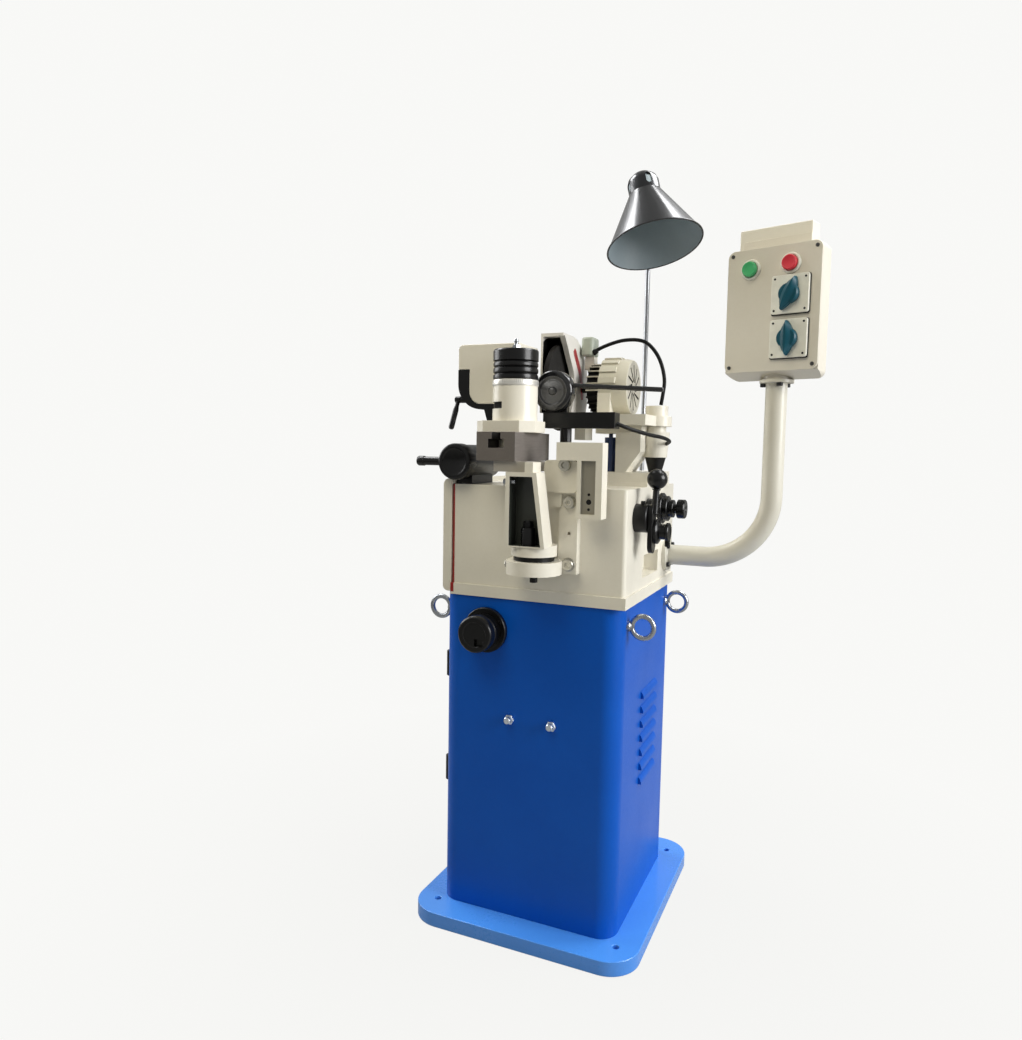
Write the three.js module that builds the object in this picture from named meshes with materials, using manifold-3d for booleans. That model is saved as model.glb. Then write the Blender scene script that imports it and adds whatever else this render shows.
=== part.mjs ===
import * as THREE from 'three';
import { mergeVertices } from 'three/addons/utils/BufferGeometryUtils.js';
import Module from 'manifold-3d';

const wasm = await Module();
wasm.setup();

// All lengths are in millimetres. +Z is up, +X is the operator's right, -Y is the front.
// The origin is the middle of the base plate's underside.

// Fits shared by the whole machine
const runningClearance = 0.3;
const slideClearance = 0.5;
const overrun = 2;

// Base plate
const plateWidth = 421;
const plateDepth = 462;
const plateThickness = 26;
const plateCornerRadius = 57;
const plateHoleSpacingX = 342;
const plateHoleSpacingY = 366;
const plateHoleRadius = 6;

// Cabinet shell
const cabinetWidth = 332.5;
const cabinetDepth = 355;
const cabinetHeight = 574;
const cabinetOffsetX = -3.75;
const cabinetOffsetY = 0.5;
const cabinetCornerRadius = 34;
const cabinetWall = 4;
const cabinetTopWall = 6;
const louvreLength = 104;
const louvreHeight = 15;
const louvreDepth = 6;
const louvrePitch = 26.7;
const louvreCount = 7;
const louvreLowestAbovePlate = 233;
const louvreBehindMiddle = 15;

// Service door in the cabinet's left side, with its hinges and latch
const doorThickness = 2.5;
const doorLap = 12;
const doorwayDepth = 232;
const doorwayHeight = 392;
const doorwayAbovePlate = 108;
const doorwayAheadOfMiddle = 6;
const doorReturn = 7;
const hingeBarrelRadius = 4.5;
const hingePinRadius = 2.2;
const hingeLength = 46;
const hingeLeafThickness = 1.5;
const hingeLeafWidth = 7;
const hingeStandOff = 6.2;
const hingeLowAbovePlate = 212;
const hingeHighAbovePlate = 412;
const latchRadius = 11;
const latchGripReach = 8.8;
const latchLength = 9;
const latchGripWidth = 5;
const latchGripHeight = 7;
const latchInset = 17;

// Eye bolts high on the cabinet's sides
const eyeRingRadius = 18.6;
const eyeWireRadius = 4.4;
const eyeCollarRadius = 9;
const eyeCollarLength = 6;
const eyeRingReach = 25.5;
const eyeBelowTop = 34;
const eyeFrontInset = 41;
const eyeRearInset = 54;

// Turning knob and two bolts on the cabinet's front
const frontKnobFromLeft = 88;
const frontKnobBelowTop = 58;
const knobFlangeRadius = 40;
const knobFlangeLength = 9;
const knobFlangeBoltRadius = 3.2;
const knobFlangeBoltCircle = 34;
const knobFlangeBoltCount = 3;
const knobFlangeBoltHeight = 2;
const knobCollarRadius = 35;
const knobCollarLength = 18;
const knobNeckRadius = 27;
const knobNeckLength = 5;
const knobHeadRadius = 32;
const knobHeadLength = 18;
const knobHeadRim = 3;
const knobGripWidth = 17;
const knobGripDepth = 7;
const knobGripLowDrop = 20;
const knobGripHighDrop = 7;
const frontBoltSpacing = 79;
const frontBoltFromRight = 157.8;
const frontBoltBelowTop = 213.6;
const frontBoltRadius = 6.5;
const frontBoltLength = 13;
const frontBoltNutRadius = 9.5;
const frontBoltNutLength = 5;

// Cast body on top of the cabinet
const bodyWidth = 320.5;
const bodyBehindPost = 135;
const bodyHeight = 197;
const bodyOffsetX = 6.25;
const bodyEdgeRadius = 7;
const skirtHeight = 20;
const skirtReach = 3;
const windowDepth = 110;
const windowHeight = 40;
const windowRecess = 26;
const windowFromFront = 108;
const windowAboveSkirt = 18;
const sideCoverThickness = 17.5;
const sideCoverRise = 9;
const sideCoverLift = 4;
const sideCoverCorner = 10;
const slabWidth = 108;
const slabFromBack = 42;
const slabHeight = 25;
const slabFromRight = 1.5;
const slabFromFront = 137;
const slabStepReach = 6;
const slabStepHeight = 7;

// Bent tube that carries the control box
const tubeRadius = 19;
const tubeBendRadius = 118;
const tubeFromBack = 60;
const tubeBelowTop = 135;
const tubeReach = 193;
const tubeRise = 330;
const tubeFlangeRadius = 31;
const tubeFlangeLength = 8;
const tubeBoltRadius = 5;
const tubeBoltLength = 5;
const tubeBoltCircle = 25;
const tubeBoltCount = 4;
const tubeTopPlateRadius = 30;
const tubeTopPlateLength = 6;

// Control box
const boxWidth = 169;
const boxTurn = -0.281;
const boxHeight = 216;
const boxDepth = 38;
const boxCornerRadius = 13;
const boxUnderSlope = 13;
const boxTubeBehindFace = 38;
const boxBossRadius = 24;
const boxBossHeight = 20;
const lidThickness = 4;
const boxBackWidth = 124;
const boxBackDepth = 34;
const boxBackRise = 24;
const boxBackLift = 40;
const boxBackShift = -12;
const lidScrewRadius = 3;
const lidScrewRecess = 1;
const lidScrewInset = 9;
const buttonRadius = 13;
const buttonLength = 8;
const buttonBezelRadius = 16.5;
const buttonBezelLength = 4;
const buttonStemRadius = 8;
const buttonStroke = 2.5;
const greenButtonX = -41;
const greenButtonZ = 72;
const redButtonX = 31;
const redButtonZ = 75;
const switchPlateSide = 66;
const switchPlateThickness = 7;
const switchPlateCorner = 4;
const switchPlateX = 34;
const switchUpperZ = 21.5;
const switchLowerZ = -54;
const switchKnobRadius = 17.5;
const switchKnobHeight = 11;
const switchGripLength = 60;
const switchGripWidth = 21;
const switchUpperTurn = 0.42;
const switchGripHeight = 16;
const switchKnobFloat = 0.3;

// Lamp
const lampFromRight = 62.5;
const lampFromBack = 18;
const lampBaseRadius = 17;
const lampBaseHeight = 6;
const lampRodRadius = 4.5;
const lampRodHeight = 538;
const lampCollarRadius = 9;
const lampCollarHeight = 14;
const lampArmRadius = 4;
const lampArmLength = 31;
const lampArmSocket = 5;
const lampTurn = 0.131;
const shadeRightOfRod = 9.5;
const shadeAheadOfRod = 72;
const lampYokeRadius = 8;
const lampYokeReach = 9.6;
const lampYokeLength = 16;
const shadeMouthRadius = 88;
const shadeNeckRadius = 31;
const shadeHeight = 104;
const shadeWall = 1.6;
const shadeCapHeight = 40;
const shadeCapCrown = 17;
const shadeCapTopRadius = 17;
const shadeSlotWidth = 11;
const shadeSlotHeight = 22;
const shadeSlotCount = 4;
const shadeSlotFirstDegrees = 35;
const shadeAxisShares = [-0.2537, 0.1833, 0.9503];
const shadeSlotAboveNeck = 8;
const bulbRadius = 17;
const bulbNeckRadius = 11;
const bulbDepthInShade = 12;
const bulbTopShare = 0.9;
const bulbEndShares = [[0.85, 1], [0.5, 1.4], [0, 1.55]];

// Levers and handwheel on the body's right side
const leverFromFront = 57;
const leverBelowTop = 49;
const leverHubRadius = 24;
const leverHubLength = 23;
const leverHubScrewRadius = 4;
const leverHubScrewHeight = 5;
const leverPlateThickness = 8;
const leverPlateHalfWidth = 14;
const leverPlateRise = 10;
const leverPlateDrop = 44;
const leverRodRadius = 6;
const leverRodLength = 66;
const leverBallRadius = 17;
const clampKnobDrop = 22;
const clampKnobBehind = 9;
const clampKnobBaseRadius = 21;
const clampKnobBaseLength = 9;
const clampKnobWaistRadius = 13;
const clampKnobWaistLength = 9;
const clampKnobEndRadius = 15.5;
const clampKnobEndLength = 6;
const clampKnobPinRadius = 4.5;
const clampKnobPinLength = 9;
const sideWheelFromFront = 132;
const sideWheelBelowTop = 36;
const sideWheelBossRadius = 16;
const sideWheelBossLength = 22;
const sideWheelRimRadius = 27;
const sideWheelRimLength = 7;
const sideWheelStepRadius = 22;
const sideWheelStepLength = 9;
const sideWheelHubRadius = 15.5;
const sideWheelHubLength = 9;
const sideWheelNeckRadius = 8;
const sideWheelNeckLength = 6;
const sideWheelEndRadius = 16.5;
const sideWheelEndLength = 14;

// Blade holder bracket on the body's front: plate, half-round shelf and upper block
const holderPlateFromRight = 94.5;
const holderBoltFromPlate = 2;
const holderPlateWidth = 32;
const holderPlateHeight = 135;
const holderPlateThickness = 16;
const holderPlateBelowTop = 7;
const holderBoltRadius = 9;
const holderBoltHeight = 6;
const holderBoltSocketRadius = 3.6;
const holderBoltInset = 16;
const holderHoleRadius = 3;
const pivotFromRight = 140.5;
const pivotForward = 49;
const shelfRadius = 46;
const shelfThickness = 22;
const shelfBelowTop = 118;
const upperBlockWidth = 58;
const upperBlockHeight = 53;
const upperBlockDepth = 25;
const upperBlockFromRight = 106.5;
const upperBlockRadius = 8;
const upperArmWidth = 30;
const upperArmHeight = 24;
const upperArmDepth = 20;

// Swivelling column with its washer, pivot pin and lock screw
const washerRadius = 34;
const washerThickness = 8;
const pivotPinRadius = 7;
const pivotPinReach = 15;
const columnBaseRadius = 38;
const columnBaseHeight = 18;
const columnHeight = 118;
const columnLeftReach = 36;
const columnRightReachLow = 33;
const columnRightReachHigh = 17;
const columnForward = 39;
const columnDepth = 36;
const columnWall = 7;
const columnBackWall = 8;
const columnCapWidth = 14;
const columnCapHeight = 16;
const lockScrewRadius = 3.4;
const lockScrewLength = 14;
const lockScrewHeadRadius = 5.2;
const lockScrewHeadLength = 6;
const lockScrewBelowTop = 9;

// T-slot block with its foot
const blockWidth = 69;
const blockHeight = 47;
const blockDepth = 148;
const blockLeftOfPivot = 91;
const blockForward = 35;
const footWidth = 58;
const footHeight = 17;
const footDepth = 100;
const footLeftOfPivot = 62;
const footSetback = 5;
const slotStemWidth = 16;
const slotStemDepth = 12;
const slotHeadWidth = 28;
const slotHeadDepth = 14;
const slotFromLeft = 35;

// Feed head on the T-slot block
const headFlangeHeight = 19;
const headFlangeLeft = 60;
const headFlangeRight = 46;
const headFlangeFront = 42;
const headFlangeBack = 42;
const headFlangeChamfer = 20;
const headBarrelRadius = 38;
const headBarrelHeight = 58;
const headBarrelFromSlot = 2;
const headBarrelBehindFace = 70;
const headNotchWidth = 30;
const headNotchHeight = 11;
const headNotchDepth = 34;
const headNotchLift = 20;
const keyLength = 60;
const scaleRingHeight = 10;
const dialHeight = 30;
const dialGrooveWidth = 3;
const dialGrooveDepth = 2;
const dialGrooveCount = 3;
const dialCapHeight = 20;
const dialCapBevel = 3;
const nippleHexRadius = 7;
const nippleHexHeight = 8;
const nippleNeckRadius = 3;
const nippleNeckHeight = 6;
const nippleBallRadius = 4;
const nippleBevel = 1;

// Rear housing hung on the feed head, its black edge bracket and the clamp handle
const housingWidth = 118;
const housingHeight = 114;
const housingDepth = 86;
const housingFromBarrel = 14;
const housingBehindFlange = 2;
const housingCorner = 45;
const housingTopCorner = 9;
const housingAboveFlange = 23;
const stripWidth = 22;
const stripFloor = 9;
const stripDepth = 22;
const stripRise = 70;
const stripRun = 80;
const bracketTopWidth = 46;
const bracketBottomWidth = 24;
const bracketDepth = 28;
const bracketLap = 10;
const bracketFromBarrel = 33;
const bracketKnobRadius = 7;
const bracketKnobLength = 16;
const bracketKnobSocket = 15;
const handleHubRadius = 6;
const handleBossLength = 18;
const handleHubLength = 11;
const handleRodRadius = 5;
const handleLength = 60;
const handleHubBehind = 13;
const handleHubLift = 18;
const handleLeanTurn = 0.485;

// Damper cylinder with its locking collar on the body's left shoulder
const damperRadius = 30;
const damperLength = 112;
const damperFromLeft = 14.6;
const damperAboveTop = 39.4;
const damperSetback = 5.3;
const saddleWidth = 32;
const saddleDepth = 84;
const saddleSetback = 14;
const saddleHeight = 16;
const collarRadius = 31.8;
const collarLength = 28;
const collarRim = 4;
const collarBoreRadius = 22;
const collarBoreDepth = 3;
const collarRodRadius = 7.6;
const collarRodLength = 44;
const collarRodCapRadius = 8.8;
const collarRodCapBevel = 3.5;
const collarRodCapLength = 14;

// Right-angle bracket beside the column
const angleArmLength = 78;
const angleArmHeight = 29;
const angleDepth = 28;
const angleForward = 41;
const angleLegWidth = 42;
const angleLegDrop = 93;
const angleFromRight = 108.5;
const angleRecessWidth = 24;
const angleRecessDepth = 7;
const angleRecessInset = 7;
const angleHoleRadius = 2.6;
const angleBigHoleRadius = 4.6;
const angleHoleSpacing = 13;
const angleHoleInset = 9;

// Index bar on its post, with the bearing for the feed lever
const indexBarLength = 129;
const indexBarHeight = 27;
const indexBarDepth = 30;
const indexBarAboveTop = 100;
const indexBarAheadOfPost = 145;
const indexBarLeft = -26;
const indexPostRadius = 10;
const indexPostFromLeft = 37.5;
const indexBossRadius = 30;
const indexBossLength = 12;
const indexBossX = -7.4;
const indexBossAboveBar = 36;
const indexLugWidth = 40;
const feedHubRadius = 35.5;
const feedHubLength = 22;
const feedHubRim = 5;
const feedHubDishRadius = 24;
const feedHubDishDepth = 3;
const feedRodRadius = 4;
const feedRodLength = 190;
const feedRodLift = 11.5;
const feedRodSlopeShare = 0.061;

// Head table that swings on the post
const postFromRight = 6.5;
const postFromFront = 202;
const postConeHeight = 27;
const postConeTopRadius = 19;
const postConeBottomRadius = 12;
const postBodyHeight = 46;
const postBodyTopRadius = 25;
const postBodyBottomRadius = 21;
const postNeckRadius = 18;
const postNeckHeight = 10;
const postSpigotRadius = 11;
const postSpigotHeight = 28;
const pedestalWidth = 46;
const pedestalFootWidth = 20;
const pedestalDepth = 70;
const pedestalFromPost = 60;
const pedestalForward = 55;
const pedestalBreakHeight = 37;
const railWidth = 86;
const railDepth = 58;
const railHeight = 14;
const railForward = 50;
const jackRadius = 11;
const jackHeight = 62;
const jackFromPost = 73;
const jackForward = 42;
const jackRodRadius = 4;
const tableThickness = 18;
const tableLeft = 146;
const tableRight = 6;
const tableFront = 103;
const tableBack = 52;
const tableBossRadius = 28;
const tableCapRadius = 20.5;
const tableCapHeight = 19;
const tableLugWidth = 20;
const tableLugDepth = 40;
const tableLugHeight = 27;
const tableLugInset = 18;

// Motor, its cowl and terminal box, on a cradle behind the wheel
const motorAxisLift = 54;
const motorBehindPost = 15;
const motorFaceFromPost = 122;
const motorNeckRadius = 14;
const motorFlangeRadius = 46;
const motorFlangeLength = 4;
const motorCoreRadius = 39;
const motorFinRadius = 46;
const motorFinThickness = 3.6;
const motorFinCount = 22;
const motorBodyLength = 20;
const motorPadWidth = 44;
const motorPadDepth = 36;
const cradleWidth = 24;
const cradleHeight = 42;
const cradleForward = 54;
const cradleDepth = 90;
const cowlRadius = 53.5;
const cowlLength = 53;
const cowlNoseLength = 12;
const cowlNoseDrop = 3;
const cowlRidgeCount = 8;
const cowlRidgeWidth = 11;
const cowlRidgeHeight = 3;
const cowlRidgeShare = 0.6;
const ventCount = 12;
const ventInnerRadius = 11;
const ventOuterRadius = 44;
const ventWidth = 4;
const ventDepth = 2.5;
const ventTwistTurn = 0.75;
const terminalWidth = 25;
const terminalAheadOfAxis = 25;
const terminalFromFace = 25;
const terminalDepth = 50;
const terminalHeight = 45;
const terminalCorner = 14;
const terminalLift = 3;

// Grinding wheel and its guard
const wheelAxisLift = 51;
const wheelAheadOfPost = 50;
const guardFromPost = 149;
const guardWidth = 43;
const guardRadius = 94;
const guardWall = 4;
const guardTopWall = 6;
const guardThickWall = 10;
const guardBossRadius = 19;
const guardBearingDepth = 7;
const guardFrontReach = 47;
const guardBottomDrop = 48;
const wheelRadius = 79;
const wheelThickness = 9;
const wheelBoreRadius = 10;
const wheelFromGuardFace = 21;
const wheelFlangeRadius = 22;
const wheelFlangeThickness = 3;
const wheelNutRadius = 12;
const wheelNutLength = 6;
const spindleRadius = 8;

// Leads held between housings
const leadRadius = 3.4;
const leadSideCount = 8;
const upperLeadStepCount = 28;
const lowerLeadStepCount = 22;

// Round faces: how far a facet's middle may lie inside the true circle
const facetDepth = 0.55;
const fewestFacetCount = 8;
const hexagonSideCount = 6;
const roundedSegmentCount = 8;
const coarseSegmentCount = 5;
const smallSegmentCount = 3;
const guardSegmentCount = 14;
const bendStepCount = 8;

const round = Math.PI * 2;
const degrees = 180 / Math.PI;
const quarter = Math.PI / 2;

// Geometry helpers

function facets(radius) {
  const across = Math.acos(1 - facetDepth / Math.max(radius, facetDepth));
  return Math.max(fewestFacetCount, 2 * Math.round(quarter / across));
}

function solid(geometry) {
  let plain = geometry.index ? geometry.toNonIndexed() : geometry.clone();
  for (const name of Object.keys(plain.attributes)) {
    if (name !== 'position') plain.deleteAttribute(name);
  }
  plain = mergeVertices(plain, 1e-4);
  const index = plain.index.array;
  const kept = [];
  for (let i = 0; i < index.length; i += 3) {
    const [a, b, c] = [index[i], index[i + 1], index[i + 2]];
    if (a !== b && b !== c && c !== a) kept.push(a, b, c);
  }
  return new wasm.Manifold(new wasm.Mesh({
    numProp: 3,
    vertProperties: new Float32Array(plain.attributes.position.array),
    triVerts: new Uint32Array(kept),
  }));
}

function fuse(first, ...others) {
  return others.reduce((sum, other) => sum.add(other), first);
}

function cut(first, ...others) {
  return others.reduce((rest, other) => rest.subtract(other), first);
}

function block(x0, x1, y0, y1, z0, z1) {
  const geometry = new THREE.BoxGeometry(x1 - x0, y1 - y0, z1 - z0);
  geometry.translate((x0 + x1) / 2, (y0 + y1) / 2, (z0 + z1) / 2);
  return solid(geometry);
}

// A turned solid: the profile lists [radius, distance along the axis] from one end to the other.
function turned(profile, axis, x, y, z, sides) {
  const segments = sides || facets(Math.max(...profile.map(([r]) => r)));
  const geometry = new THREE.LatheGeometry(profile.map(([r, h]) => new THREE.Vector2(r, h)), segments);
  if (axis === 'z') geometry.rotateX(quarter);
  if (axis === 'x') geometry.rotateZ(-quarter);
  if (axis === '-y') geometry.rotateX(Math.PI);
  geometry.translate(x, y, z);
  return orient(geometry);
}

// Turns a closed geometry the right way out when its profile ran the other way.
function orient(geometry) {
  const made = solid(geometry);
  if (!made.isEmpty() && made.volume() > 0) return made;
  const flipped = geometry.index ? geometry.toNonIndexed() : geometry.clone();
  const position = flipped.attributes.position;
  for (let i = 0; i < position.count; i += 3) {
    const [x, y, z] = [position.getX(i), position.getY(i), position.getZ(i)];
    position.setXYZ(i, position.getX(i + 1), position.getY(i + 1), position.getZ(i + 1));
    position.setXYZ(i + 1, x, y, z);
  }
  return solid(flipped);
}

function cylinder(radius, from, to, axis, x, y, z, sides) {
  return turned([[0, from], [radius, from], [radius, to], [0, to]], axis, x, y, z, sides);
}

// A round hole's cutter, its flats outside the true circle so that a pin of the same size goes in.
function bore(radius, from, to, axis, x, y, z) {
  const sides = facets(radius);
  return cylinder(radius / Math.cos(Math.PI / sides), from, to, axis, x, y, z, sides);
}

// An outline in two axes pushed along the third one.
function pushed(shape, from, to, plane, segments = roundedSegmentCount) {
  const geometry = new THREE.ExtrudeGeometry(shape, {
    depth: to - from,
    bevelEnabled: false,
    curveSegments: segments,
  });
  geometry.translate(0, 0, from);
  if (plane === 'xz') {
    geometry.rotateX(quarter);
    geometry.scale(1, -1, 1);
  }
  if (plane === 'yz') {
    geometry.rotateX(quarter);
    geometry.rotateZ(quarter);
  }
  return orient(geometry);
}

function outline(points) {
  return new THREE.Shape(points.map(([x, y]) => new THREE.Vector2(x, y)));
}

// An outline's rounded corner, a quarter of a circle about a middle.
function corner(shape, x, y, radius, start) {
  shape.absarc(x, y, radius, start, start + quarter);
}

function roundedRectangle(x0, x1, y0, y1, radius) {
  const shape = new THREE.Shape();
  shape.moveTo(x0 + radius, y0);
  shape.lineTo(x1 - radius, y0);
  corner(shape, x1 - radius, y0 + radius, radius, -quarter);
  shape.lineTo(x1, y1 - radius);
  corner(shape, x1 - radius, y1 - radius, radius, 0);
  shape.lineTo(x0 + radius, y1);
  corner(shape, x0 + radius, y1 - radius, radius, quarter);
  shape.lineTo(x0, y0 + radius);
  corner(shape, x0 + radius, y0 + radius, radius, Math.PI);
  return shape;
}

// A round bar or lead along a list of points.
function swept(points, radius, steps, sides) {
  const route = points.map(([x, y, z]) => new THREE.Vector3(x, y, z));
  const path = new THREE.CatmullRomCurve3(route, false, 'centripetal');
  const ring = new THREE.Shape();
  for (let i = 0; i < sides; i += 1) {
    const angle = round * i / sides;
    const [x, y] = [radius * Math.cos(angle), radius * Math.sin(angle)];
    if (i === 0) ring.moveTo(x, y);
    else ring.lineTo(x, y);
  }
  ring.closePath();
  return orient(new THREE.ExtrudeGeometry(ring, { steps, extrudePath: path, bevelEnabled: false }));
}

// A tube through points in an upright plane, each ring square to the path's mean direction there.
function tubeAlong(points, radius, sides) {
  const vertices = [];
  const across = new THREE.Vector3(0, 1, 0);
  points.forEach((point, i) => {
    const before = points[Math.max(i - 1, 0)];
    const after = points[Math.min(i + 1, points.length - 1)];
    const ahead = i > 0 ? point.clone().sub(before).normalize() : after.clone().sub(point).normalize();
    const next = i < points.length - 1 ? after.clone().sub(point).normalize() : ahead.clone();
    const along = ahead.clone().add(next).normalize();
    const stretch = 1 / along.dot(next);
    const up = new THREE.Vector3().crossVectors(along, across).normalize();
    for (let k = 0; k < sides; k += 1) {
      const angle = round * k / sides;
      vertices.push(point.clone()
        .addScaledVector(across, radius * Math.cos(angle))
        .addScaledVector(up, radius * stretch * Math.sin(angle)));
    }
  });
  const positions = [];
  const put = (...list) => list.forEach((v) => positions.push(v.x, v.y, v.z));
  const last = (points.length - 1) * sides;
  for (let i = 0; i < points.length - 1; i += 1) {
    for (let k = 0; k < sides; k += 1) {
      const [a, b] = [i * sides + k, i * sides + (k + 1) % sides];
      put(vertices[a], vertices[b], vertices[b + sides]);
      put(vertices[a], vertices[b + sides], vertices[a + sides]);
    }
  }
  for (let k = 1; k < sides - 1; k += 1) {
    put(vertices[0], vertices[k + 1], vertices[k]);
    put(vertices[last], vertices[last + k], vertices[last + k + 1]);
  }
  const geometry = new THREE.BufferGeometry();
  geometry.setAttribute('position', new THREE.BufferAttribute(new Float32Array(positions), 3));
  return orient(geometry);
}

function moved(manifold, x, y, z) {
  return manifold.translate([x, y, z]);
}

const machine = new THREE.Group();

function paint(color, roughness, metalness) {
  return { color, roughness, metalness };
}

const cream = paint(0xe8e2d0, 0.45, 0);
const blue = paint(0x1f5fd0, 0.4, 0);
const black = paint(0x141414, 0.45, 0);
const steel = paint(0xb9bcc0, 0.3, 1);
const greyMetal = paint(0x67625e, 0.5, 0.6);

function piece(name, manifold, look, parent = machine) {
  const mesh = manifold.getMesh();
  const geometry = new THREE.BufferGeometry();
  geometry.setAttribute('position', new THREE.BufferAttribute(new Float32Array(mesh.vertProperties), 3));
  geometry.setIndex(new THREE.BufferAttribute(new Uint32Array(mesh.triVerts), 1));
  const flat = geometry.toNonIndexed();
  flat.computeVertexNormals();
  const node = new THREE.Mesh(flat, new THREE.MeshStandardMaterial(look));
  node.name = name;
  parent.add(node);
  return node;
}

// Base plate with its four fixing holes
const plateTop = plateThickness;
let basePlate = pushed(
  roundedRectangle(-plateWidth / 2, plateWidth / 2, -plateDepth / 2, plateDepth / 2, plateCornerRadius),
  0, plateTop, 'xy',
);
for (const sx of [-1, 1]) {
  for (const sy of [-1, 1]) {
    const [x, y] = [sx * plateHoleSpacingX / 2, sy * plateHoleSpacingY / 2];
    basePlate = cut(basePlate, cylinder(plateHoleRadius, -overrun, plateTop + overrun, 'z', x, y, 0));
  }
}
piece('base_plate', basePlate, blue);

// Cabinet: a folded sheet box, open below, with a doorway on the left and louvres on the right
const cabinetTop = plateTop + cabinetHeight;
const cabinetLeft = cabinetOffsetX - cabinetWidth / 2;
const cabinetRight = cabinetOffsetX + cabinetWidth / 2;
const cabinetFront = cabinetOffsetY - cabinetDepth / 2;
const cabinetBack = cabinetOffsetY + cabinetDepth / 2;
const doorwayFront = cabinetOffsetY - doorwayAheadOfMiddle - doorwayDepth / 2;
const doorwayBack = doorwayFront + doorwayDepth;
const doorwayBottom = plateTop + doorwayAbovePlate;
const doorwayTop = doorwayBottom + doorwayHeight;
let cabinetShell = cut(
  pushed(
    roundedRectangle(cabinetLeft, cabinetRight, cabinetFront, cabinetBack, cabinetCornerRadius),
    plateTop, cabinetTop, 'xy', coarseSegmentCount,
  ),
  pushed(
    roundedRectangle(
      cabinetLeft + cabinetWall, cabinetRight - cabinetWall,
      cabinetFront + cabinetWall, cabinetBack - cabinetWall,
      cabinetCornerRadius - cabinetWall,
    ),
    plateTop - overrun, cabinetTop - cabinetTopWall, 'xy', coarseSegmentCount,
  ),
  block(
    cabinetLeft - overrun, cabinetLeft + cabinetWall + overrun,
    doorwayFront, doorwayBack, doorwayBottom, doorwayTop,
  ),
);
for (let i = 0; i < louvreCount; i += 1) {
  const z = plateTop + louvreLowestAbovePlate + i * louvrePitch;
  const hood = outline([
    [cabinetRight - cabinetWall / 2, z - louvreHeight / 2],
    [cabinetRight + louvreDepth, z - louvreHeight / 2],
    [cabinetRight + louvreDepth, z - louvreHeight / 4],
    [cabinetRight + louvreDepth / 2, z + louvreHeight / 4],
    [cabinetRight - cabinetWall / 2, z + louvreHeight / 2],
  ]);
  const middle = cabinetOffsetY + louvreBehindMiddle;
  cabinetShell = fuse(cabinetShell, pushed(hood, middle - louvreLength / 2, middle + louvreLength / 2, 'xz'));
}

// Door: an outside panel with a return tray inside the doorway, and two knuckles on the shell's hinge pins
const hingeX = cabinetLeft - hingeStandOff;
const doorLeft = cabinetLeft - runningClearance - doorThickness;
const doorPanelFront = doorwayFront - doorLap;
const hingeY = doorPanelFront - hingeBarrelRadius - runningClearance;
const trayGap = slideClearance * 3;
let cabinetDoor = fuse(
  block(
    doorLeft, doorLeft + doorThickness, doorPanelFront, doorwayBack + doorLap,
    doorwayBottom - doorLap, doorwayTop + doorLap,
  ),
  cut(
    block(
      doorLeft + doorThickness / 2, cabinetLeft + doorReturn,
      doorwayFront + trayGap, doorwayBack - trayGap, doorwayBottom + trayGap, doorwayTop - trayGap,
    ),
    block(
      doorLeft + doorThickness, cabinetLeft + doorReturn + overrun,
      doorwayFront + trayGap + doorThickness, doorwayBack - trayGap - doorThickness,
      doorwayBottom + trayGap + doorThickness, doorwayTop - trayGap - doorThickness,
    ),
  ),
);
for (const lift of [hingeLowAbovePlate, hingeHighAbovePlate]) {
  const low = plateTop + lift;
  const middle = low + hingeLength / 2;
  const high = low + hingeLength;
  cabinetShell = fuse(
    cabinetShell,
    cylinder(hingeBarrelRadius, low, middle, 'z', hingeX, hingeY, 0),
    cylinder(hingePinRadius, low, high, 'z', hingeX, hingeY, 0),
    block(
      cabinetLeft - hingeLeafThickness, cabinetLeft,
      hingeY - hingeLeafWidth, hingeY - hingePinRadius / 2, low, high,
    ),
    block(
      hingeX, cabinetLeft - hingeLeafThickness / 2,
      hingeY - hingePinRadius * 2, hingeY - hingePinRadius / 2, low, middle,
    ),
  );
  const knuckle = cut(
    fuse(
      cylinder(hingeBarrelRadius, middle + runningClearance, high, 'z', hingeX, hingeY, 0),
      block(
        doorLeft, doorLeft + doorThickness,
        hingeY + hingePinRadius / 2, doorPanelFront + overrun, middle + runningClearance, high,
      ),
    ),
    bore(hingePinRadius + runningClearance, low, high + overrun, 'z', hingeX, hingeY, 0),
  );
  cabinetDoor = fuse(cabinetDoor, knuckle);
}
piece('cabinet_shell', cabinetShell, blue);
piece('cabinet_door', cabinetDoor, blue);
const latchY = doorwayBack + doorLap - latchInset;
const latchZ = (doorwayBottom + doorwayTop) / 2;
piece('door_latch', fuse(
  cylinder(latchRadius, doorLeft - latchLength, doorLeft, 'x', 0, latchY, latchZ),
  block(
    doorLeft - latchLength - latchGripHeight, doorLeft - latchLength + overrun / 2,
    latchY - latchGripWidth / 2, latchY + latchGripWidth / 2,
    latchZ - latchGripReach, latchZ + latchGripReach,
  ),
), black);

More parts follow.
